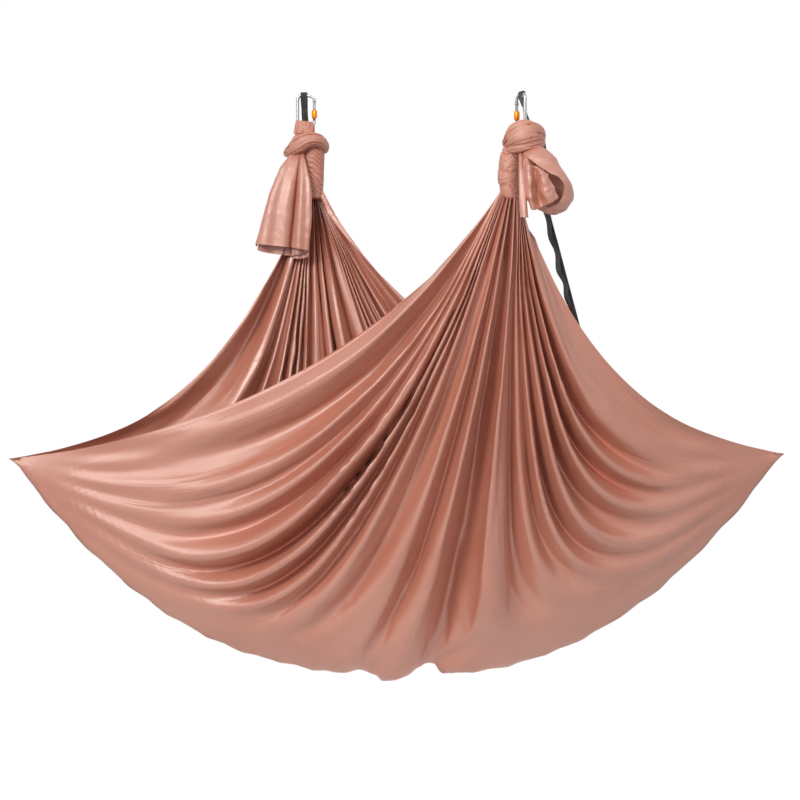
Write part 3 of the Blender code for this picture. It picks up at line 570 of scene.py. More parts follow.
def cloth_material():
    """Rose-gold satin tricot, with painted shade and painted bounced light that make it deeper and
    redder inside its folds.
    """
    material, tree, shader = new_material(
        "rose_satin_tricot",
        IOR=1.65,
        Specular_IOR_Level=1.0,
        Specular_Tint=(1.0, 0.93, 0.90, 1.0),
        Sheen_Weight=0.12,
        Sheen_Roughness=0.35,
        Sheen_Tint=(1.0, 0.78, 0.70, 1.0),
    )
    spot = object_place(tree)
    cloudy = noise_of(tree, spot, 3.2, 4.0, 0.55)
    face = mix_colour(tree, remap(tree, cloudy, 0.35, 0.7), ROSE, ROSE_DARK)
    # Painted shade: deeper folds get a darker, redder colour, standing in for the shade and the light
    # bounced between folds
    deep = remap(tree, attribute(tree, "valley"), 0.06, 0.85)
    creases = place_group(tree, CREASES, Vector=spot)["Line"]
    colour = mix_colour(tree, deep, face, PAINTED_FOLD_SHADE_RED)
    colour = mix_colour(tree, times(tree, creases, 0.08), colour, CREASE_PALE)
    feed(tree, shader.inputs["Base Color"], colour)
    # Painted shade: the folds turn partly metallic with their depth, to keep their painted shade
    # saturated
    feed(tree, shader.inputs["Metallic"], times(tree, deep, 0.55))
    rough = plus(tree, times(tree, cloudy, 0.12), 0.32)
    rough = plus(tree, rough, times(tree, attribute(tree, "gathered"), 0.20))
    feed(tree, shader.inputs["Roughness"], rough)
    knit = place_group(tree, KNIT, Cloth_UV=uv_map(tree, "cloth"))["Height"]
    loops = times(tree, knit, maths(tree, "POWER", attribute(tree, "spread"), 2.0))
    soft = noise_of(tree, spot, 38.0, 3.0, 0.55)
    wrinkles = place_group(tree, PULLS, Pull=attribute(tree, "pull", "Vector"), Lines=42.0)
    bumps_into(
        tree,
        shader,
        (loops, 0.22, 0.0002),
        (soft, 0.35, 0.0020),
        (wrinkles["Height"], 0.7, 0.0022),
        (creases, 0.5, 0.0012),
    )
    return material


def metal_material(name, colour, rough, size=1.0, worn=(0.55, 0.55, 0.56)):
    """Smooth metal with the fine scratches and smudges of handling."""
    material, tree, shader = new_material(name, Metallic=1.0)
    wear = place_group(tree, WEAR, Vector=object_place(tree), Size=size)
    marked = mix_colour(tree, times(tree, wear["Scratch"], 0.35), (*colour, 1), (*worn, 1))
    feed(tree, shader.inputs["Base Color"], marked)
    smudged = plus(tree, times(tree, wear["Smudge"], 0.22), rough - 0.08)
    scratched = plus(tree, smudged, times(tree, wear["Scratch"], 0.12))
    feed(tree, shader.inputs["Roughness"], scratched)
    bumps_into(tree, shader, (wear["Scratch"], 0.25, 0.00005))
    return material


def webbing_material(name, colour, thread, ribs):
    """Woven black yarn, a little dusty on its ribs."""
    material, tree, shader = new_material(name, Sheen_Weight=0.25, Sheen_Roughness=0.5)
    weave = place_group(tree, WEAVE, Band_UV=uv_map(tree, "band"), Ribs_per_metre=ribs)
    dust = remap(tree, noise_of(tree, object_place(tree), 60.0, 4.0), 0.45, 0.8, 0.0, 0.5)
    woven = mix_colour(tree, weave["Thread"], (*colour, 1), (*thread, 1))
    feed(tree, shader.inputs["Base Color"], mix_colour(tree, dust, woven, DUST))
    feed(tree, shader.inputs["Roughness"], plus(tree, times(tree, weave["Thread"], -0.15), 0.78))
    bumps_into(tree, shader, (weave["Height"], 0.6, 0.0003))
    return material


CLOTH = cloth_material()
STEEL = metal_material("polished_bar_steel", (0.44, 0.45, 0.46), 0.26)
PIN_STEEL = metal_material("turned_pin_steel", (0.34, 0.35, 0.36), 0.34, 2.0)
ORANGE = metal_material("orange_anodised_sleeve", (0.90, 0.27, 0.015), 0.36, 1.5, (0.75, 0.30, 0.08))
WEBBING = webbing_material("black_strap_webbing", (0.006, 0.008, 0.008), (0.030, 0.036, 0.036), 420.0)
POCKET_WEB = webbing_material(
    "black_pocket_webbing", (0.005, 0.006, 0.006), (0.022, 0.025, 0.026), 520.0
)
THREAD = webbing_material("bar_tack_thread", (0.010, 0.011, 0.011), (0.055, 0.058, 0.058), 1500.0)


# Helpers for lengths, curves and meshes


def clamp(value, low=0.0, high=1.0):
    return max(low, min(high, value))


def eased(values):
    """0 below nothing and 1 above one, with a soft start and end between."""
    t = np.clip(values, 0, 1)
    return t * t * (3 - 2 * t)


def fuller(value, power):
    """A sine or cosine drawn outwards, so that a round section fills more of its box."""
    return math.copysign(abs(value) ** power, value)


def waves(at, parts):
    """Sine waves added up, each (height, rate, shift)."""
    return sum(high * np.sin(2 * np.pi * (rate * at + shift)) for high, rate, shift in parts)


def ruffle(at, scale, seed):
    """Fixed uneven values through space, from about -1 to 1."""
    return noise.noise(Vector(at) * scale + Vector((seed, 2 * seed, -seed)))


def seen(px, py, y):
    """The point of the picture at that pixel, set at the depth y."""
    k = PIXEL * (y - EYE.y) / -EYE.y
    return Vector((EYE.x + (px - PICTURE / 2) * k, y, EYE.z - (py - PICTURE / 2) * k))


def cubic(before, a, b, after, t):
    """The point t of the way from a to b, on a smooth curve through all four."""
    bend = before * 2 - a * 5 + b * 4 - after
    turn = a * 3 - before - b * 3 + after
    return (a * 2 + (b - before) * t + bend * t**2 + turn * t**3) / 2


def run_lengths(route):
    """How much of the route lies behind each of its points."""
    lengths = [0.0]
    for a, b in zip(route, route[1:]):
        lengths.append(lengths[-1] + (b - a).length)
    return lengths


def smooth_route(points, step):
    """A smooth curve through the points, read at even steps."""
    points = [Vector(p) for p in points]
    ends = [points[0] * 2 - points[1]] + points + [points[-1] * 2 - points[-2]]
    fours = zip(ends, ends[1:], ends[2:], ends[3:])
    fine = [cubic(*four, k / 12) for four in fours for k in range(12)] + [points[-1]]
    lengths = run_lengths(fine)
    count = max(2, round(lengths[-1] / step))
    route, at = [], 0
    for k in range(count + 1):
        goal = lengths[-1] * k / count
        while at < len(fine) - 2 and lengths[at + 1] < goal:
            at += 1
        share = (goal - lengths[at]) / max(lengths[at + 1] - lengths[at], 1e-9)
        route.append(fine[at].lerp(fine[at + 1], clamp(share)))
    return route


def curve_through(values, per_span, loop=False):
    """Rows of values on a smooth curve through the stations."""
    values = np.array(values, dtype=float)
    last = len(values) - 1
    rows = []
    for n in range(last + 1 if loop else last):
        near_by = [i % (last + 1) if loop else min(max(i, 0), last) for i in range(n - 1, n + 3)]
        rows += [cubic(*values[near_by], k / per_span) for k in range(per_span)]
    if not loop:
        rows.append(values[-1])
    return np.array(rows)


def piece(name, mesh, material, body="root"):
    """A finished piece of the hammock, which moves with its body."""
    made = bpy.data.objects.new(name, mesh)
    bpy.context.scene.collection.objects.link(made)
    mesh.materials.append(material)
    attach(made, body)
    return made


def smooth_mesh(name, bm, angle):
    """A mesh of what was built, smooth where its faces meet under that angle."""
    mesh = bpy.data.meshes.new(name)
    bm.to_mesh(mesh)
    bm.free()
    mesh.shade_smooth()
    mesh.set_sharp_from_angle(angle=math.radians(angle))
    return mesh


def closed(name, bm, angle=40):
    """A mesh whose seams are merged and whose faces all point outwards."""
    bmesh.ops.remove_doubles(bm, verts=bm.verts, dist=1e-6)
    bmesh.ops.recalc_face_normals(bm, faces=bm.faces)
    return smooth_mesh(name, bm, angle)


def ring_mesh(name, rings, uv_name, uv, angle=40, loop=False, marks=None):
    """A closed form through rings of equal count, with marks: rows of values for its points."""
    bm = bmesh.new()
    layer = bm.loops.layers.uv.new(uv_name)
    marks = [(bm.verts.layers.float.new(mark), rows) for mark, rows in (marks or {}).items()]
    rows = [[bm.verts.new(point) for point in ring] for ring in rings]
    for mark, values in marks:
        for row, numbers in zip(rows, values):
            for vert, number in zip(row, numbers):
                vert[mark] = number
    count = len(rings[0])
    for r in range(len(rows) if loop else len(rows) - 1):
        below, above = rows[r], rows[(r + 1) % len(rows)]
        for i in range(count):
            j = (i + 1) % count
            face = bm.faces.new((below[i], below[j], above[j], above[i]))
            spots = ((r, i), (r, i + 1), (r + 1, i + 1), (r + 1, i))
            for corner, spot in zip(face.loops, spots):
                corner[layer].uv = uv(*spot)
    if not loop:
        for row in (rows[0], rows[-1]):
            bm.faces.new(row)
    return closed(name, bm, angle)


# The straps' loose ends


def carabiner_place(side):
    """Takes a point from the carabiner's own frame to the hammock's."""
    return Matrix.Translation(CENTRE[side]) @ Matrix.Rotation(TURN[side], 4, "Z")


def band_frames(route, across):
    """The way across the webbing and the way out of its face, at each point of the route."""
    frames = []
    last = len(route) - 1
    for k in range(len(route)):
        along = (route[min(k + 1, last)] - route[max(k - 1, 0)]).normalized()
        side = (across[k] - along * across[k].dot(along)).normalized()
        frames.append((side, along.cross(side)))
    return frames


def band(name, route, across, wide, thick, lift, material):
    """Webbing along a route, its edges rounded like a woven selvage."""
    outline = [(-1, -0.35), (-0.93, -1), (-0.5, -1), (0, -1), (0.5, -1), (0.93, -1), (1, -0.35)]
    outline += [(-a, -b) for a, b in outline]
    rings = []
    for k, (side, out) in enumerate(band_frames(route, across)):
        base = route[k] + out * lift[k]
        rings.append([base + side * (wide / 2) * a + out * (thick / 2) * b for a, b in outline])
    gone = run_lengths(route)
    widths = [a * wide / 2 for a, _ in outline + outline[:1]]
    mesh = ring_mesh(name, rings, "band", lambda r, i: (widths[i], gone[r]))
    return piece(name, mesh, material)


def bar_tack(name, at, side_way, out):
    """A block of tight zigzag stitches across the webbing."""
    bm = bmesh.new()
    bmesh.ops.create_grid(bm, x_segments=15, y_segments=36, size=0.5)
    layer = bm.loops.layers.uv.new("band")
    for vert in bm.verts:
        x, y = vert.co.x, vert.co.y
        round_off = (1 - (2 * abs(x)) ** 6) * (1 - (2 * abs(y)) ** 8)
        zigzag = y * TACK_STITCHES + (0.25 if x > 0 else 0)
        rib = 0.75 + 0.25 * math.cos(2 * math.pi * zigzag)
        vert.co = (x * TACK_LONG, y * TACK_WIDE, TACK_THICK * (rib * round_off - 0.5))
    for item in bmesh.ops.extrude_face_region(bm, geom=bm.faces[:])["geom"]:
        if isinstance(item, bmesh.types.BMVert):
            item.co.z = -TACK_THICK * 0.5 - 0.0001
    for face in bm.faces:
        for loop in face.loops:
            loop[layer].uv = (loop.vert.co.y, loop.vert.co.x)
    turn = Matrix((side_way.cross(out), side_way, out)).transposed().to_4x4()
    bm.transform(Matrix.Translation(at) @ turn)
    return piece(name, closed(name, bm, 60), THREAD)


def strap_start(side):
    """The strap's sewn eye over the carabiner's upper bar, and the way out of it."""
    reach = BAR_RADIUS + WEB_GAP + WEB_THICK / 2
    joint_z = BAR_TOP - EYE_DROP
    eye = [(EYE_OPEN - WEB_THICK - 0.0005, joint_z), (-reach * 0.92, BAR_TOP - EYE_DROP * 0.25)]
    for degrees in range(180, -1, -30):
        a = math.radians(degrees)
        eye.append((reach * math.cos(a), BAR_TOP + reach * math.sin(a)))
    eye += [(EYE_OPEN * 0.95, BAR_TOP - EYE_DROP * 0.5), (EYE_OPEN, joint_z)]
    eye += WEB_LEAVES
    return [carabiner_place(side) @ Vector((EYE_X, SIDE_WAY[side] * y, z)) for y, z in eye]


def pocket_band(side, hang, ways, lengths, first):
    """The second layer of webbing, which stands open in a pocket between two bar tacks."""
    flat = (WEB_THICK + POCKET_THICK) / 2 + POCKET_GAP
    line, line_ways, lift = [], [], []
    for point, way, at in zip(hang, ways, lengths):
        if at < first:
            continue
        phase = (at - first) / POCKET_PITCH
        number = int(phase)
        lean = POCKET_LEAN * math.sin(2.4 * number + 1)
        t = (phase % 1.0) + lean * math.sin(math.pi * (phase % 1.0))
        stand = POCKET_STAND * (0.86 + 0.14 * math.cos(3.1 * number))
        line.append(point)
        line_ways.append(way)
        lift.append(SIDE_WAY[side] * (flat + stand * math.sin(math.pi * clamp(t)) ** 2))
    name = f"{side}_pocket_webbing"
    return band(name, line, line_ways, POCKET_WIDE, POCKET_THICK, lift, POCKET_WEB)


def make_strap(side):
    """A strap's loose end: its eye, the webbing, the pockets and the tacks between them."""
    points = strap_start(side)
    route = smooth_route(points, WEB_STEP)
    turn_at = len(route)
    route += smooth_route([points[-1], *WEB_HANG[side]], HANG_STEP)[1:]
    bar_way = (carabiner_place(side).to_3x3() @ Vector((1, 0, 0))).normalized()
    flat_way = Vector((math.cos(WEB_FACE_TURN[side]), -math.sin(WEB_FACE_TURN[side]), 0))
    if bar_way.x < 0:
        flat_way = -flat_way
    across = []
    for k in range(len(route)):
        share = eased((k - turn_at) / max(1, (len(route) - turn_at) * WEB_TURNS_OVER))
        across.append(bar_way.lerp(flat_way, share).normalized())
    name = f"{side}_strap_webbing"
    strap = band(name, route, across, WEB_WIDE, WEB_THICK, [0.0] * len(route), WEBBING)
    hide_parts(f"{side}_strap")

    hang = route[turn_at:]
    lengths = run_lengths(hang)
    gone = lengths[-1]
    pockets = int((gone - POCKET_START) / POCKET_PITCH)
    first = gone - pockets * POCKET_PITCH
    pocket = pocket_band(side, hang, across[turn_at:], lengths, first)
    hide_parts(f"{side}_strap_pockets")

    frames = band_frames(route, across)[turn_at:]
    for n in range(1, pockets + 2):
        goal = clamp(first + (n - 1) * POCKET_PITCH, TACK_LONG, gone - TACK_LONG)
        k = min(max(i for i, length in enumerate(lengths) if length <= goal), len(hang) - 2)
        share = (goal - lengths[k]) / (lengths[k + 1] - lengths[k])
        side_way, out = (a.lerp(b, share).normalized() for a, b in zip(frames[k], frames[k + 1]))
        out = out * -SIDE_WAY[side]
        at = hang[k].lerp(hang[k + 1], share) + out * (WEB_THICK / 2 + TACK_THICK * 0.5)
        tack = bar_tack(f"{side}_tack_stitches_{n}", at, side_way, out)
        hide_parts(f"{side}_bar_tack_{n}")
    run_lengths(route)[-1]


# Grids of points on cloth


def cut_grid(columns, rows, wide=1, long=1):
    """Even places across and along a cut."""
    return np.meshgrid(np.linspace(0, wide, columns + 1), np.linspace(0, long, rows + 1), indexing="ij")


def unit(vectors):
    return vectors / np.maximum(np.linalg.norm(vectors, axis=-1, keepdims=True), 1e-9)


def across_both(grid):
    """The cross product of a grid's two ways at each point, which stands on its face."""
    return np.cross(np.gradient(grid, axis=0), np.gradient(grid, axis=1))


def blurred(grid, reach, way):
    """Averages a grid of points over that many neighbours each way."""
    grid = np.moveaxis(grid, way, 0)
    weights = np.exp(-2 * (np.arange(-2 * reach, 2 * reach + 1) / reach) ** 2)
    weights /= weights.sum()
    padded = np.concatenate([grid[:1]] * (2 * reach) + [grid] + [grid[-1:]] * (2 * reach))
    found = sum(w * padded[k : k + grid.shape[0]] for k, w in enumerate(weights))
    return np.moveaxis(found, 0, way)


def softened(grid, reach):
    """The grid averaged across and along."""
    return blurred(blurred(grid, reach, 0), reach, 1)


def finer(grid, count, way):
    """Reads a grid of points at more even steps along one way, on cubic curves."""
    grid = np.moveaxis(grid, way, 0)
    last = grid.shape[0] - 1
    at = np.linspace(0, last, count + 1)
    k = np.clip(at.astype(int), 0, last - 1)
    four = (grid[np.clip(k + n, 0, last)] for n in (-1, 0, 1, 2))
    return np.moveaxis(cubic(*four, (at - k)[:, None, None]), 0, way)


def to_viewer(normal):
    """Normals turned to the viewer's side, and how squarely they face it, from 0 to 1."""
    normal = normal * np.where(normal[..., 1:2] > 0, -1.0, 1.0)
    return normal, eased(np.abs(normal[..., 1]) * 3 - 0.5)


def grid_faces(columns, rows):
    """The four corners of each cell of a grid of points."""
    i, j = np.meshgrid(np.arange(columns), np.arange(rows), indexing="ij")
    first = (i * (rows + 1) + j).ravel()
    return np.stack([first, first + rows + 1, first + rows + 2, first + 1], 1)


def halved(points, quads):
    """Splits each quad along the way it is folded, so that ridges stay unbroken."""
    a, b, c, d = (points[quads[:, n]] for n in range(4))

    def flatness(one, two):
        return (unit(np.cross(*one)) * unit(np.cross(*two))).sum(-1)

    first = flatness((b - a, c - a), (c - a, d - a)) >= flatness((b - a, d - a), (c - b, d - b))
    split = first[:, None]
    one = np.where(split, quads[:, (0, 1, 2)], quads[:, (0, 1, 3)])
    two = np.where(split, quads[:, (0, 2, 3)], quads[:, (1, 2, 3)])
    return np.concatenate([one, two])


def store(mesh, name, kind, values):
    """Keeps a value for each point of the mesh, the same on its front and its back."""
    layer = mesh.attributes.new(name, kind, "POINT")
    field = "vector" if kind == "FLOAT_VECTOR" else "value"
    layer.data.foreach_set(field, values.astype(np.float32).ravel())


def sheet_mesh(name, grid, wide, long, thick, reach, depth, pull=None):
    """A sheet of real thickness from a grid of points, with its cut's UV and the fold depth that sets
    its painted shade.
    """
    columns, rows = grid.shape[0] - 1, grid.shape[1] - 1
    normal = unit(across_both(grid))
    out = normal * thick / 2
    points = np.concatenate([(grid + out).reshape(-1, 3), (grid - out).reshape(-1, 3)])
    count = (columns + 1) * (rows + 1)
    numbers = np.arange(count).reshape(columns + 1, rows + 1)
    edge = (numbers[:-1, 0], numbers[-1, :-1], numbers[:0:-1, -1], numbers[0, :0:-1])
    edge = np.concatenate(edge)
    after = np.roll(edge, -1)
    rim = np.stack([after, edge, edge + count, after + count], 1)
    front = halved(grid.reshape(-1, 3), grid_faces(columns, rows))
    sides = np.concatenate([front, front[:, ::-1] + count])
    corners = np.concatenate([sides.ravel(), rim.ravel()])
    mesh = bpy.data.meshes.new(name)
    mesh.from_pydata(points.tolist(), [], sides.tolist() + rim.tolist())
    mesh.shade_smooth()

    u, v = cut_grid(columns, rows, wide, long)
    flat = np.tile(np.stack([u.ravel(), v.ravel()], 1), (2, 1))
    mesh.uv_layers.new(name="cloth").data.foreach_set("uv", flat[corners].astype(np.float32).ravel())
    # How far each point lies sunk below its softened neighbours, for the painted shade of the folds
    sunk = ((softened(grid, reach) - grid) * normal).sum(2)
    valley = np.clip(np.concatenate([sunk.ravel(), -sunk.ravel()]) / depth, 0, 1)
    store(mesh, "valley", "FLOAT", valley)
    opened = np.linalg.norm(np.gradient(grid, axis=0), axis=2) * columns / wide
    opened = np.clip(softened(opened[..., None], 2), 0, 1)
    store(mesh, "spread", "FLOAT", np.tile(opened.ravel(), 2))
    if pull is not None:
        lines = np.stack([value.ravel() for value in pull], 1)
        store(mesh, "pull", "FLOAT_VECTOR", np.tile(lines, (2, 1)))

    place = np.full(len(points), -9)
    place[edge], place[edge + count] = np.arange(len(edge)), np.arange(len(edge))
    ends = np.empty(len(mesh.edges) * 2, dtype=np.int32)
    mesh.edges.foreach_get("vertices", ends)
    ends = ends.reshape(-1, 2)
    apart = np.abs(place[ends[:, 0]] - place[ends[:, 1]])
    along_cut = (place[ends] >= 0).all(1) & ((apart == 1) | (apart == len(edge) - 1))
    mesh.attributes.new("sharp_edge", "BOOLEAN", "EDGE").data.foreach_set("value", along_cut)
    return mesh


# The hanging sheet. u runs across the cut and v along it, both from 0 to 1


def low_edge(u):
    """The sheet's middle line, from tip to tip under the pouch."""
    share = u + TIP_CROWDING / (2 * np.pi) * np.sin(2 * np.pi * u)
    tip = TIP_LEFT * (1 - share)[..., None] + TIP_RIGHT * share[..., None]
    level = 1 - np.abs(2 * share - 1) ** EDGE_POWER
    return np.stack([tip[..., 0], 0 * level, tip[..., 2] + (LOW_Z - tip[..., 2]) * level], -1)


def bow(neck, tip, sag):
    """How far a top edge sags below the straight line from its neck to its tip."""
    chord = (tip - neck) * np.array((1, 0, 1))
    chord /= np.linalg.norm(chord)
    down = np.array((chord[2], 0, -chord[0]))
    return (down if down[2] < 0 else -down) * sag


def fan(side, u, s):
    """One half of the bare sheet: from a knot's neck, s = 0, down to the middle line, s = 1."""
    neck = NECK[side]
    angle = SIDE_WAY[side] * (np.pi / 2 + NECK_SPAN * (0.5 - u))
    ring = NECK_RADIUS * np.stack([np.cos(angle), np.sin(angle), 0 * angle], -1)
    point = (neck + ring) * (1 - s)[..., None] + low_edge(u) * s[..., None]
    left, right = 1 - eased(u / EDGE_REACH), 1 - eased((1 - u) / EDGE_REACH)
    sag_left, sag_right = EDGE_SAG[side]
    hang = left[..., None] * bow(neck, TIP_LEFT, sag_left)
    hang = hang + right[..., None] * bow(neck, TIP_RIGHT, sag_right)
    point += (4 * s * (1 - s))[..., None] * hang
    full = 0.6 + 0.4 * np.maximum(left, right)
    point[..., 1] = neck[1] * (1 - s**1.5) ** full + ring[..., 1] * (1 - s)
    return point


def middle_row(u):
    """Where along the cut the middle line lies: the knots are tied a little askew."""
    return MIDDLE_LEFT + MIDDLE_ASKEW * u


def knot_share(near, u, v):
    """How far down from its own knot a point of the cut lies: 1 on the middle line."""
    middle = middle_row(u)
    return np.clip(np.where(near, (1 - v) / (1 - middle), v / middle), 0, 1)


def bare_sheet(near, u, v):
    """The whole sheet without its folds."""
    s = knot_share(near, u, v)
    return np.where(near[..., None], fan("near", u, s), fan("far", u, s))


def fold_line(near, u, v):
    """Numbers the pull lines, which leave the knots side by side and run in to the two tips."""
    s = knot_share(near, u, v)
    middle = middle_row(u)
    down = (1 - s) * np.where(near, 1 - middle, middle) * CUT_LONG + 1e-4

    def swing(x):
        reach = x * CUT_WIDE
        return (reach / (reach + down)) / (CUT_WIDE / (CUT_WIDE + down))

    rest = 0.5 - TIP_SHARE
    low = TIP_SHARE * (swing(u) + 1 - swing(1 - u)) + rest * u + rest * eased((u - BUNCH_START) / 0.34)
    return u + (low - u) * s**1.5


def slopes(of, near, u, v, step=2e-3):
    """How fast a value changes per metre across and along the cut, on the point's own half."""
    ua, ub = np.clip(u - step, 0, 1), np.clip(u + step, 0, 1)
    va = np.where(near, np.minimum(v, 1 - step), np.maximum(v - step, 0))
    across = of(near, ub, v) - of(near, ua, v)
    along = of(near, u, va + step) - of(near, u, va)
    wide, long = (ub - ua) * CUT_WIDE * GIVE, step * CUT_LONG
    return across / (wide[..., None] if across.ndim > 2 else wide), along / long


def pleated_sheet(u, v, cell):
    """The sheet with folds as deep as the spare cloth between two pull lines allows."""
    near = v > middle_row(u)
    s = knot_share(near, u, v)
    below_knot = eased(s * 6)
    point = bare_sheet(near, u, v)
    by_x, by_y = slopes(bare_sheet, near, u, v)
    line_x, line_y = slopes(fold_line, near, u, v)
    steep = np.sqrt(line_x**2 + line_y**2)
    taken = by_x * (line_x / steep)[..., None] + by_y * (line_y / steep)[..., None]
    taken = np.linalg.norm(taken, axis=-1)
    normal = unit(softened(unit(np.cross(by_x, by_y)), 2))
    apart = 1 / (FOLDS * steep)
    count = fold_line(near, u, v)

    # The spare cloth between two lines makes the fold, within the room that it has
    deep = 0.25 * apart * np.sqrt(np.clip(1 - np.clip(taken, 0, 1) ** 2, 0.002, 1))
    deep = np.minimum(deep, FOLD_AT_NECK + FOLD_GROWTH * np.clip(s * 3, 0, 1))
    deep = np.minimum(deep, (FOLD_STEEP + FOLD_STEEP_AT_NECK * (1 - eased(s * 5))) * taken * apart)
    # A fold narrower than two cells of the grid can't be laid
    deep *= np.where(s > 0.3, eased((apart / cell - 2) / 3), 1)
    deep *= 1 + waves(count, FOLD_UNEVEN) * below_knot
    bunch = eased((u - BUNCH_START) / 0.10) * eased((BUNCH_END - u) / 0.12)
    down = (1 - s) * CUT_LONG / 2
    lean = down / (down + CUT_WIDE * np.minimum(u, 1 - u) + 1e-3)
    deep *= 1 - (LOW_CALM - BUNCH_KEEPS * bunch) * eased(1 - lean / CALM_LEAN)
    wave = np.cos(2 * np.pi * FOLDS * (count + waves(count, FOLD_DRIFT)))

    # At the necks the folds stand inwards only
    axis = np.where(near[..., None], NECK["near"], NECK["far"])
    side = np.sign((normal * (point - axis) * np.array((1, 1, 0))).sum(-1))
    side[side == 0] = 1
    return point + normal * (deep * (wave - (1 - below_knot) * side))[..., None]


def hang_sheet():
    """Hangs the pleated sheet as cloth by its two necks and its two tips."""
    columns, rows = SIM_COLUMNS, SIM_ROWS
    u, v = cut_grid(columns, rows)
    start = pleated_sheet(u, v, CUT_LONG / rows).reshape(-1, 3)
    narrow = 1 - 0.5 * (1 - eased(knot_share(v > middle_row(u), u, v) / 0.16))
    cut = np.stack([(u - 0.5) * CUT_WIDE * GIVE * narrow, v * CUT_LONG, 0 * u], -1)
    pins = [i * (rows + 1) + j for i in range(columns + 1) for j in (0, rows)]
    for column, tip in ((0, TIP_LEFT), (columns, TIP_RIGHT)):
        row = round(middle_row(column / columns) * rows)
        for k in range(-TIP_GRIP, TIP_GRIP + 1):
            at = column * (rows + 1) + row + k
            start[at] = tip + np.array((0, 0.004 * k, 0.002 * (-1) ** k))
            pins.append(at)
    mesh = bpy.data.meshes.new("hanging")
    mesh.from_pydata(start.tolist(), [], grid_faces(columns, rows).tolist())
    cloth = bpy.data.objects.new("hanging", mesh)
    scene = bpy.context.scene
    scene.collection.objects.link(cloth)
    cloth.shape_key_add(name="hung")
    cloth.shape_key_add(name="cut").data.foreach_set("co", cut.astype(np.float32).ravel())
    cloth.vertex_groups.new(name="held").add(pins, 1.0, "REPLACE")
    step = cloth.modifiers.new("hang", "CLOTH")
    step.settings.rest_shape_key = mesh.shape_keys.key_blocks["cut"]
    step.settings.vertex_group_mass = "held"
    for name, value in CLOTH_HANG.items():
        setattr(step.settings, name, value)
    step.collision_settings.use_collision = False
    step.collision_settings.use_self_collision = False
    for frames in (step.point_cache, scene):
        frames.frame_start, frames.frame_end = 1, SIM_FRAMES
    for number in range(1, SIM_FRAMES + 1):
        scene.frame_set(number)
    hung = cloth.evaluated_get(bpy.context.evaluated_depsgraph_get()).data
    found = np.empty(len(hung.vertices) * 3, dtype=np.float32)
    hung.vertices.foreach_get("co", found)
    bpy.data.objects.remove(cloth)
    scene.frame_set(1)
    return found.astype(float).reshape(*u.shape, 3)


def pull_lines(u, v):
    """The pull line's number, the share of the way down and the metres from line to line."""
    near = v > middle_row(u)
    by_x, by_y = slopes(fold_line, near, u, v)
    return fold_line(near, u, v), knot_share(near, u, v), 1 / np.sqrt(by_x**2 + by_y**2)


def tip_folds(grid, v, middle, count, share, apart):
    """Carries the folds that the coarser hung sheet loses near the two tips on into them."""
    apart = apart / FOLDS
    lost = 1 - eased((apart * SIM_ROWS / CUT_LONG - 2) / 3)
    drawn = eased((apart * CLOTH_ROWS / CUT_LONG - 1.4) / 2)
    off_middle = np.abs(v - middle) * CUT_LONG
    deep = TIP_FOLD_DEEP * apart * lost * drawn * eased((share - 0.45) / 0.2) * eased(off_middle / 0.10)
    normal, facing = to_viewer(unit(softened(across_both(grid), 2)))
    return grid + normal * (facing * deep * np.cos(2 * np.pi * FOLDS * count))[..., None]


def sharpened(grid, reach, scale, gain):
    """Narrows the crests that face the viewer's side, as taut cloth does over a fold."""
    normal, facing = to_viewer(unit(across_both(grid)))
    rise = ((grid - softened(grid, reach)) * normal).sum(-1)
    extra = gain * np.clip(rise, 0, scale) ** 2 / scale * facing
    return grid + normal * softened(extra[..., None], 1)


def wrinkled(grid, count, share, strength, deep):
    """Irregular ridges along the pull lines, fewer and softer towards the pouch."""
    rise = np.empty(count.shape)
    for spot in np.ndindex(count.shape):
        wave, patch = (
            noise.noise(Vector((count[spot] * across, share[spot] * along, level)))
            for (across, along), level in ((WRINKLE_RATES, 3.0), (PATCH_RATES, 8.0))
        )
        rise[spot] = max(0.0, 1 - 3.0 * abs(wave)) ** 2 * clamp(0.5 + 1.6 * patch)
    normal, facing = to_viewer(unit(across_both(grid)))
    fade = facing * strength * eased(share * 5) * (1 - 0.8 * eased((share - 0.72) / 0.28))
    return grid + normal * (deep * rise * fade)[..., None]


def make_sheet():
    """The hung sheet, laid out finer, with the crests and wrinkles of taut cloth."""
    grid = softened(hang_sheet(), 1)
    grid = finer(finer(grid, CLOTH_COLUMNS, 0), CLOTH_ROWS, 1)
    u, v = cut_grid(CLOTH_COLUMNS, CLOTH_ROWS)
    count, share, apart = pull_lines(u, v)
    # Wrinkles come where the pull lines run wide apart, clear of the knots
    strength = eased((apart - 0.6) / 1.4) * eased((share - 0.04) / 0.14)
    grid = tip_folds(grid, v, middle_row(u), count, share, apart)
    grid = sharpened(grid, 4, CREST_HIGH, CREST_GAIN)
    grid = wrinkled(grid, count, share, strength, WRINKLE_DEEP)
    pull = (count, share, strength)
    mesh = sheet_mesh("hanging_sheet", grid, CUT_WIDE, CUT_LONG, CLOTH_THICK, 4, FOLD_SHADE, pull)
    sheet = piece("hanging_sheet", mesh, CLOTH)
    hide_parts("hammock_sheet")
    return sheet


# Gathered cloth in the knots and necks


def gathered_form(name, node, path, count, shape, loop=False):
    """A closed form of gathered cloth along a path.

    shape(k, row, a) gives the point at the angle a round row k, and how deep in a crease it lies, which
    sets its painted shade.
    """
    angles = [2 * math.pi * i / count for i in range(count)]
    rows = [[shape(k, row, a) for a in angles] for k, row in enumerate(path)]
    rings = [[point for point, _ in row] for row in rows]
    plain = [[1.0] * count] * len(rows)
    # Painted shade: the creases take a share of the folds' darker, redder colour
    marks = {
        "valley": [[deep * CREASE_SHADE_SHARE for _, deep in row] for row in rows],
        "gathered": plain,
        "spread": plain,
    }
    step = run_lengths([Vector(point) for point in rings[0]])[-1] / count
    mesh = ring_mesh(name, rings, "cloth", lambda r, i: (i * step, r * step), 75, loop, marks)
    made = piece(name, mesh, CLOTH)
    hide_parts(node)
    return made


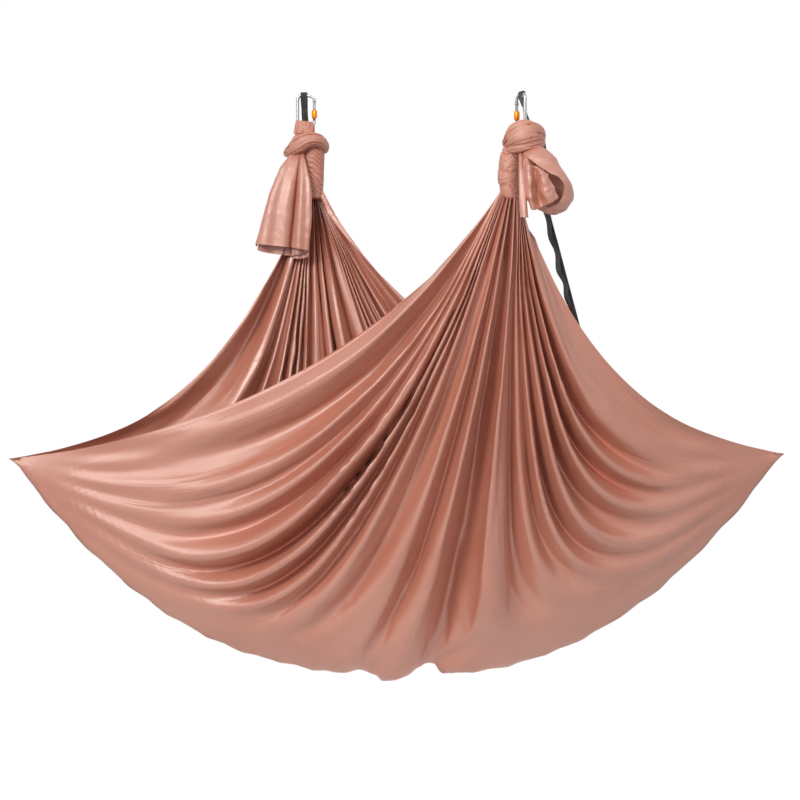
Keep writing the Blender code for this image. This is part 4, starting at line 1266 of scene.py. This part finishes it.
def knot_turn(name, side, seed):
    """A turn of cloth that closes on itself round a middle point, creased along its length."""
    middle, stations, pleats, deep = TURNS[name]
    middle = seen(*middle)
    path = [(*seen(px, py, y), wide, thick) for px, py, y, wide, thick in stations]
    path = curve_through(path, 9, True)

    def shape(k, row, a):
        at = Vector(row[:3])
        along = Vector(path[(k + 1) % len(path)][:3]) - Vector(path[k - 1][:3])
        along.normalize()
        out = at - middle
        out = (out - along * out.dot(along)).normalized()
        way = along.cross(out)
        x, h = fuller(math.cos(a), 0.8), fuller(math.sin(a), 0.75)
        drift = ruffle(at, 22.0, seed) * 1.6 + 0.8 * math.sin(2 * math.pi * k / len(path) + seed)
        pinch = (1 - abs(math.cos(math.pi * pleats / 2 * x + drift))) ** 2.2
        pinch *= 0.55 + 0.45 * math.sin(5.1 * x + 3 * drift)
        fold = deep * pinch * abs(math.sin(a)) ** 0.5
        lump = TURN_LUMP * ruffle(at + way * x * 0.02, 60.0, seed + 3)
        point = at + way * (row[3] / 2) * x + out * ((row[4] / 2 - fold) * h + lump)
        return point, clamp(pinch * 1.1)

    return gathered_form(name, f"{side}_knot", path, TURN_SIDES, shape, True)


def upright_path(side, stations, per_span):
    """Rows (x, y, z, half width, half depth) through stations in the carabiner's own plane."""
    path = [(*seen(px, py, CENTRE[side].y), half, deep) for px, py, half, deep in stations]
    return curve_through(path, per_span)


def neck_column(side):
    """The wrapped column between a knot and the sheet."""
    stations, (down, deep, starts, uneven) = NECKS[side]
    path = upright_path(side, stations, 16)
    top, low = path[0][2], path[-1][2]

    def shape(k, row, a):
        t = (top - row[2]) / (top - low)
        at = (1.2 * math.cos(a), 1.2 * math.sin(a), 3.0 * t)
        shift = uneven * (ruffle(at, 1.0, 4.0 + down) * 7 + ruffle(at, 2.6, 9.0) * 2.2)
        phase = math.pi * down * t * 1.1 - starts / 2 * a + shift
        strength = clamp(0.60 + 1.1 * ruffle(at, 1.3, 11.0 + down))
        pinch = (1 - abs(math.sin(phase))) ** 2.4 * (0.25 + 0.75 * strength)
        fine = (1 - abs(math.sin(phase * 2.6 + 1.3 * shift))) ** 3 * 0.32
        ends = clamp(min(t * 5, (1 - t) * 9))
        lump = NECK_LUMP * ruffle(at, 0.9, 2.0)
        r = 1 - deep * (pinch + fine) * ends / row[3] + lump
        point = (row[0] + row[3] * r * math.cos(a), row[1] + row[4] * r * math.sin(a), row[2])
        return point, clamp((pinch * 0.9 + fine * 0.8) * ends)

    return gathered_form(f"{side}_wrapped_neck", f"{side}_neck", path, NECK_SIDES, shape)


def bundle_form(side):
    """Gathered cloth over the carabiner's lower bar, widening into two pleated feet."""
    span, wide, foot_wide, thick = BUNDLE
    round_z = BUNDLE_TOP - span
    leg = [(BUNDLE_FOOT, 1.0), (BUNDLE_FOOT + 0.008, 0.94), (round_z - 0.003, 0.7)]
    stations = [(-span, z, 0.0, spread) for z, spread in leg]
    for degrees in range(0, 181, 20):
        a = math.radians(degrees)
        spread = 0.6 * eased(1 - min(degrees, 180 - degrees) / 40)
        stations.append((-span * math.cos(a), round_z + span * math.sin(a), a, spread))
    stations += [(span, z, math.pi, spread) for z, spread in leg[::-1]]
    place_in = carabiner_place(side)

    def shape(k, row, t):
        y, z, a, spread = row
        half = (wide + (foot_wide - wide) * spread) / 2
        x = half * fuller(math.cos(t), 0.75)
        pleat = (1 - abs(math.cos(x / half * math.pi * 2.7 + 0.4))) ** 1.8
        pleat *= 0.6 + 0.4 * math.sin(9 * x / half + 1)
        h = thick / 2 * fuller(math.sin(t), 0.6) * (1 - 0.42 * pleat)
        outward = Vector((0, -math.cos(a), math.sin(a)))
        return place_in @ (Vector((BUNDLE_X + x, y, z)) + outward * h), clamp(pleat)

    name, node = f"{side}_gathered_bundle", f"{side}_knot_bundle"
    return gathered_form(name, node, curve_through(stations, 4), BUNDLE_SIDES, shape)


def collar_form():
    """The far knot's collar: upright pleats pinched together round the bar, ruffled below."""
    path = upright_path("far", COLLAR, 6)
    low, top = path[0][2], path[-1][2]

    def shape(k, row, a):
        t = (row[2] - low) / (top - low)
        uneven = ruffle((math.cos(a), math.sin(a), t * 0.4), 1.6, 9.0)
        pinch = (1 - abs(math.cos(5.5 * a + 1.8 * uneven))) ** 1.7
        frill = COLLAR_FRILL * (1 - t) ** 3 * math.sin(9 * a + 4 * uneven)
        shrink = COLLAR_PLEAT * pinch * (0.35 + 0.65 * t) * (0.7 + 0.5 * uneven)
        x, y = row[3] - shrink + frill, row[4] - shrink + frill
        drop = COLLAR_SLOPE * t * (1 + math.cos(a)) / 2
        drop += COLLAR_WAVE * (1 - t) ** 2 * math.sin(5 * a + 2)
        return (row[0] + x * math.cos(a), row[1] + y * math.sin(a), row[2] - drop), clamp(pinch)

    return gathered_form("far_pleated_collar", "far_knot_bundle", path, COLLAR_SIDES, shape)


def knot_filling(side):
    """The cloth inside the knot, seen only between its turns."""
    low, high = (Vector(corner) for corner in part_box(f"{side}_knot"))
    middle, half = (low + high) / 2, (high - low) / 2 * Vector(FILLING_SHARE)

    def shape(k, b, a):
        r = math.sin(b) * (1 + 0.04 * math.cos(7 * a + 5 * b))
        out = Vector((half.x * r * math.cos(a), half.y * r * math.sin(a), half.z * math.cos(b)))
        # Painted shade: the filling lies deep between the turns, so it takes a fixed share of the folds'
        # painted shade
        return middle + out, 0.7

    path = [math.pi * k / 16 for k in range(1, 16)]
    return gathered_form(f"{side}_knot_filling", f"{side}_knot", path, FILLING_SIDES, shape)


def make_knot(side):
    """A knot's bundle over the bar, its filling, the neck under it and the turns round it."""
    turns = [(3.0 + n, name) for n, name in enumerate(TURNS) if name.startswith(side)]
    pieces = [bundle_form(side), knot_filling(side), neck_column(side)]
    return pieces + [knot_turn(name, side, seed) for seed, name in turns]


# The loose ends below the knots


def crumple(grid, deep, scale, seed):
    """Presses small sharp creases into a grid of points."""
    normal = unit(across_both(grid))
    moved = grid.copy()
    for spot in np.ndindex(grid.shape[:2]):
        broad = abs(ruffle(grid[spot], scale, seed))
        small = abs(ruffle(grid[spot], scale * 2.3, seed + 5))
        moved[spot] += normal[spot] * deep * (0.5 - broad - 0.5 * small)
    return moved


def tail_piece(name, grid, cut, node, depth):
    """A loose end of the cloth, as a thin sheet."""
    made = piece(name, sheet_mesh(name, grid, *cut, TAIL_THICK, 3, depth), CLOTH)
    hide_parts(node)
    return made


def far_tail():
    """The far knot's loose end: two broad pleats over its folded layers."""
    section = curve_through(FAR_TAIL_SECTION, 5)
    heights, *columns = np.array(FAR_TAIL_SIDES).T
    rows = 48
    grid = np.empty((len(section), rows + 1, 3))
    for i, (across, off, hem) in enumerate(section):
        for j in range(rows + 1):
            t = j / rows
            py = heights[0] + (hem - heights[0]) * t
            left, pleat, right, depth = (np.interp(py, heights, column) for column in columns)
            if across < 1:
                px = left + (pleat - left) * across
            else:
                px = pleat + (right - pleat) * (across - 1)
            fold = FAR_TAIL_FOLD * math.sin(10.5 * across + 1.2 * math.sin(3 * t) + 2.0) * eased(t * 2)
            y = depth + off * 0.001 * (0.25 + 0.75 * eased(t * 1.6)) + fold
            grid[i, j] = seen(px, py, y)
    grid = crumple(grid, *FAR_TAIL_CRUMPLE)
    return tail_piece("far_hanging_tail", grid, FAR_TAIL_CUT, "far_tail", TAIL_SHADE)


def near_roll():
    """The near knot's rolled end, its spiral open at the foot."""
    path = curve_through([(*seen(px, py, y), radius) for px, py, y, radius in NEAR_ROLL], 8)
    steps = 90
    grid = np.empty((steps + 1, len(path), 3))
    for j, (x, y, z, radius) in enumerate(path):
        for i in range(steps + 1):
            wound = NEAR_ROLL_TURNS * i / steps
            a = 2 * math.pi * wound - 1.9
            r = radius - NEAR_ROLL_PITCH * (NEAR_ROLL_TURNS - wound) * radius / NEAR_ROLL_RADIUS
            r *= 1 + 0.10 * math.sin(3 * a + 6 * j / len(path))
            grid[i, j] = (x + r * math.cos(a), y + r * math.sin(a), z)
    return tail_piece("near_rolled_end", grid, NEAR_ROLL_CUT, "near_rolled_tail", NEAR_ROLL_SHADE)


def near_loop():
    """The bow's loop, an open bag: from its mouth over its outer fold to the wall behind."""
    lines = np.array([[seen(*spot) for spot in row] for row in NEAR_LOOP], dtype=float)
    mouth, ridge, wall = (curve_through(lines[:, n], 7) for n in range(3))
    middle = (mouth.mean(0) + wall.mean(0)) / 2
    rows = 30
    grid = np.empty((len(ridge), rows + 1, 3))
    for j in range(rows + 1):
        t = 2 * j / rows
        low, high, part = (mouth, ridge, t) if t < 1 else (ridge, wall, t - 1)
        point = low * (1 - part) + high * part
        away = unit((point - middle) * np.array((1, 0.6, 1)))
        grid[:, j] = point + away * NEAR_LOOP_SWELL * math.sin(math.pi * part)
    grid = crumple(softened(grid, 1), *NEAR_LOOP_CRUMPLE)
    return tail_piece("near_bow_loop", grid, NEAR_LOOP_CUT[::-1], "near_tail", TAIL_SHADE)


def near_flap():
    """The crumpled flap that hangs before the bow's loop."""
    points = np.array([[seen(*spot) for spot in row] for row in NEAR_FLAP], dtype=float)
    across = curve_through(points.reshape(5, -1), 9).reshape(-1, 5, 3)
    grid = np.stack([curve_through(row, 9) for row in across])
    grid = np.swapaxes(crumple(grid, *NEAR_FLAP_CRUMPLE), 0, 1)
    return tail_piece("near_bow_flap", grid, NEAR_FLAP_CUT, "near_tail", NEAR_FLAP_SHADE)


def make_tails():
    for tail, cut, knot in (
        (far_tail(), FAR_TAIL_CUT, "far_knot"),
        (near_roll(), NEAR_ROLL_CUT, "near_knot"),
        (near_loop(), NEAR_LOOP_CUT, "near_knot"),
        (near_flap(), NEAR_FLAP_CUT, "near_knot"),
    ):
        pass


# The carabiners


def make_metal(side):
    """Merged copies of the frame's pieces, smooth where they are round and crisp at their edges."""
    for node, name, material, body, slot in (
        ("carabiner_body", "bar", STEEL, "root", "steel"),
        ("gate_rivet", "hinge_rivet", PIN_STEEL, "root", "steel"),
        ("carabiner_gate", "gate_rod", STEEL, f"{side}_gate", "steel"),
        ("gate_pusher", "pusher_pin", PIN_STEEL, f"{side}_gate", "steel"),
        ("gate_spring", "spring_tube", PIN_STEEL, f"{side}_gate", "steel"),
        ("locking_sleeve", "screw_sleeve", ORANGE, f"{side}_sleeve", "orange"),
    ):
        bm = bmesh.new()
        bm.from_mesh(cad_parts[f"{side}_{node}"].data)
        bmesh.ops.remove_doubles(bm, verts=bm.verts, dist=2e-5)
        made = piece(f"{side}_{name}", smooth_mesh(f"{side}_{name}", bm, 38), material, body)
        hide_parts(f"{side}_{node}")


# Camera, light and floor


def make_viewer():
    """A level camera that frames the hammock as it is seen in the picture."""
    camera = bpy.data.cameras.new("viewer")
    camera.sensor_width = FILM
    camera.lens = FILM * -EYE.y / (PICTURE * PIXEL)
    viewer = bpy.data.objects.new("viewer", camera)
    viewer.location = EYE
    viewer.rotation_euler = (math.pi / 2, 0, 0)
    bpy.context.scene.collection.objects.link(viewer)
    bpy.context.scene.camera = viewer


def make_room():
    """A white room to look into, which sheds a dimmer light, stronger from above."""
    world = bpy.data.worlds.new("white_room")
    bpy.context.scene.world = world
    world.use_nodes = True
    tree = world.node_tree
    tree.nodes.clear()
    rays = add(tree, "ShaderNodeLightPath").outputs
    plain = maths(tree, "MAXIMUM", rays["Is Camera Ray"], rays["Is Transmission Ray"])
    shown = maths(tree, "MAXIMUM", plain, rays["Is Glossy Ray"])
    height = parts_of(tree, add(tree, "ShaderNodeTexCoord").outputs["Generated"])[2]
    strength = remap(tree, height, -0.6, 0.8, 0.30, 0.72)
    dim = add(tree, "ShaderNodeBackground", {0: ROOM_LIGHT, 1: strength})
    white = add(tree, "ShaderNodeBackground", {0: (1, 1, 1, 1)})
    blend = add(tree, "ShaderNodeMixShader", {0: shown, 1: dim.outputs[0], 2: white.outputs[0]})
    add(tree, "ShaderNodeOutputWorld", {0: blend.outputs[0]})


def make_floor():
    """A pale round floor that fades into the room's white at its rim."""
    bm = bmesh.new()
    bmesh.ops.create_circle(bm, cap_ends=True, segments=96, radius=FLOOR_RADIUS)
    bmesh.ops.translate(bm, verts=bm.verts, vec=(0, 0, FLOOR_Z))
    mesh = bpy.data.meshes.new("floor")
    bm.to_mesh(mesh)
    bm.free()
    floor = bpy.data.objects.new("floor", mesh)
    bpy.context.scene.collection.objects.link(floor)
    material, tree, shader = new_material("pale_floor", Roughness=0.9, Base_Color=FLOOR_GREY)
    flat = scaled(tree, object_place(tree), (1, 1, 0))
    away = add(tree, "ShaderNodeVectorMath", {0: flat}, operation="LENGTH").outputs["Value"]
    glow = add(tree, "ShaderNodeEmission")
    inputs = {0: remap(tree, away, 0.9, 1.45), 1: shader.outputs[0], 2: glow.outputs[0]}
    blend = add(tree, "ShaderNodeMixShader", inputs)
    feed(tree, tree.nodes["Material Output"].inputs[0], blend.outputs[0])
    mesh.materials.append(material)


def make_windows():
    for name, spot, aim, size, power, colour in WINDOWS:
        lamp = bpy.data.lights.new(name, "AREA")
        lamp.shape = "SQUARE"
        lamp.size, lamp.energy, lamp.color = size, power, colour
        hung = bpy.data.objects.new(name, lamp)
        hung.location = spot
        hung.rotation_euler = (Vector(aim) - Vector(spot)).to_track_quat("-Z", "Y").to_euler()
        bpy.context.scene.collection.objects.link(hung)


bpy.context.scene.view_settings.view_transform = "Standard"
make_viewer()
make_room()
make_floor()
make_windows()
for side in ("far", "near"):
    make_strap(side)
    make_metal(side)
knots = make_knot("far") + make_knot("near") + [collar_form()]
make_tails()
sheet = make_sheet()
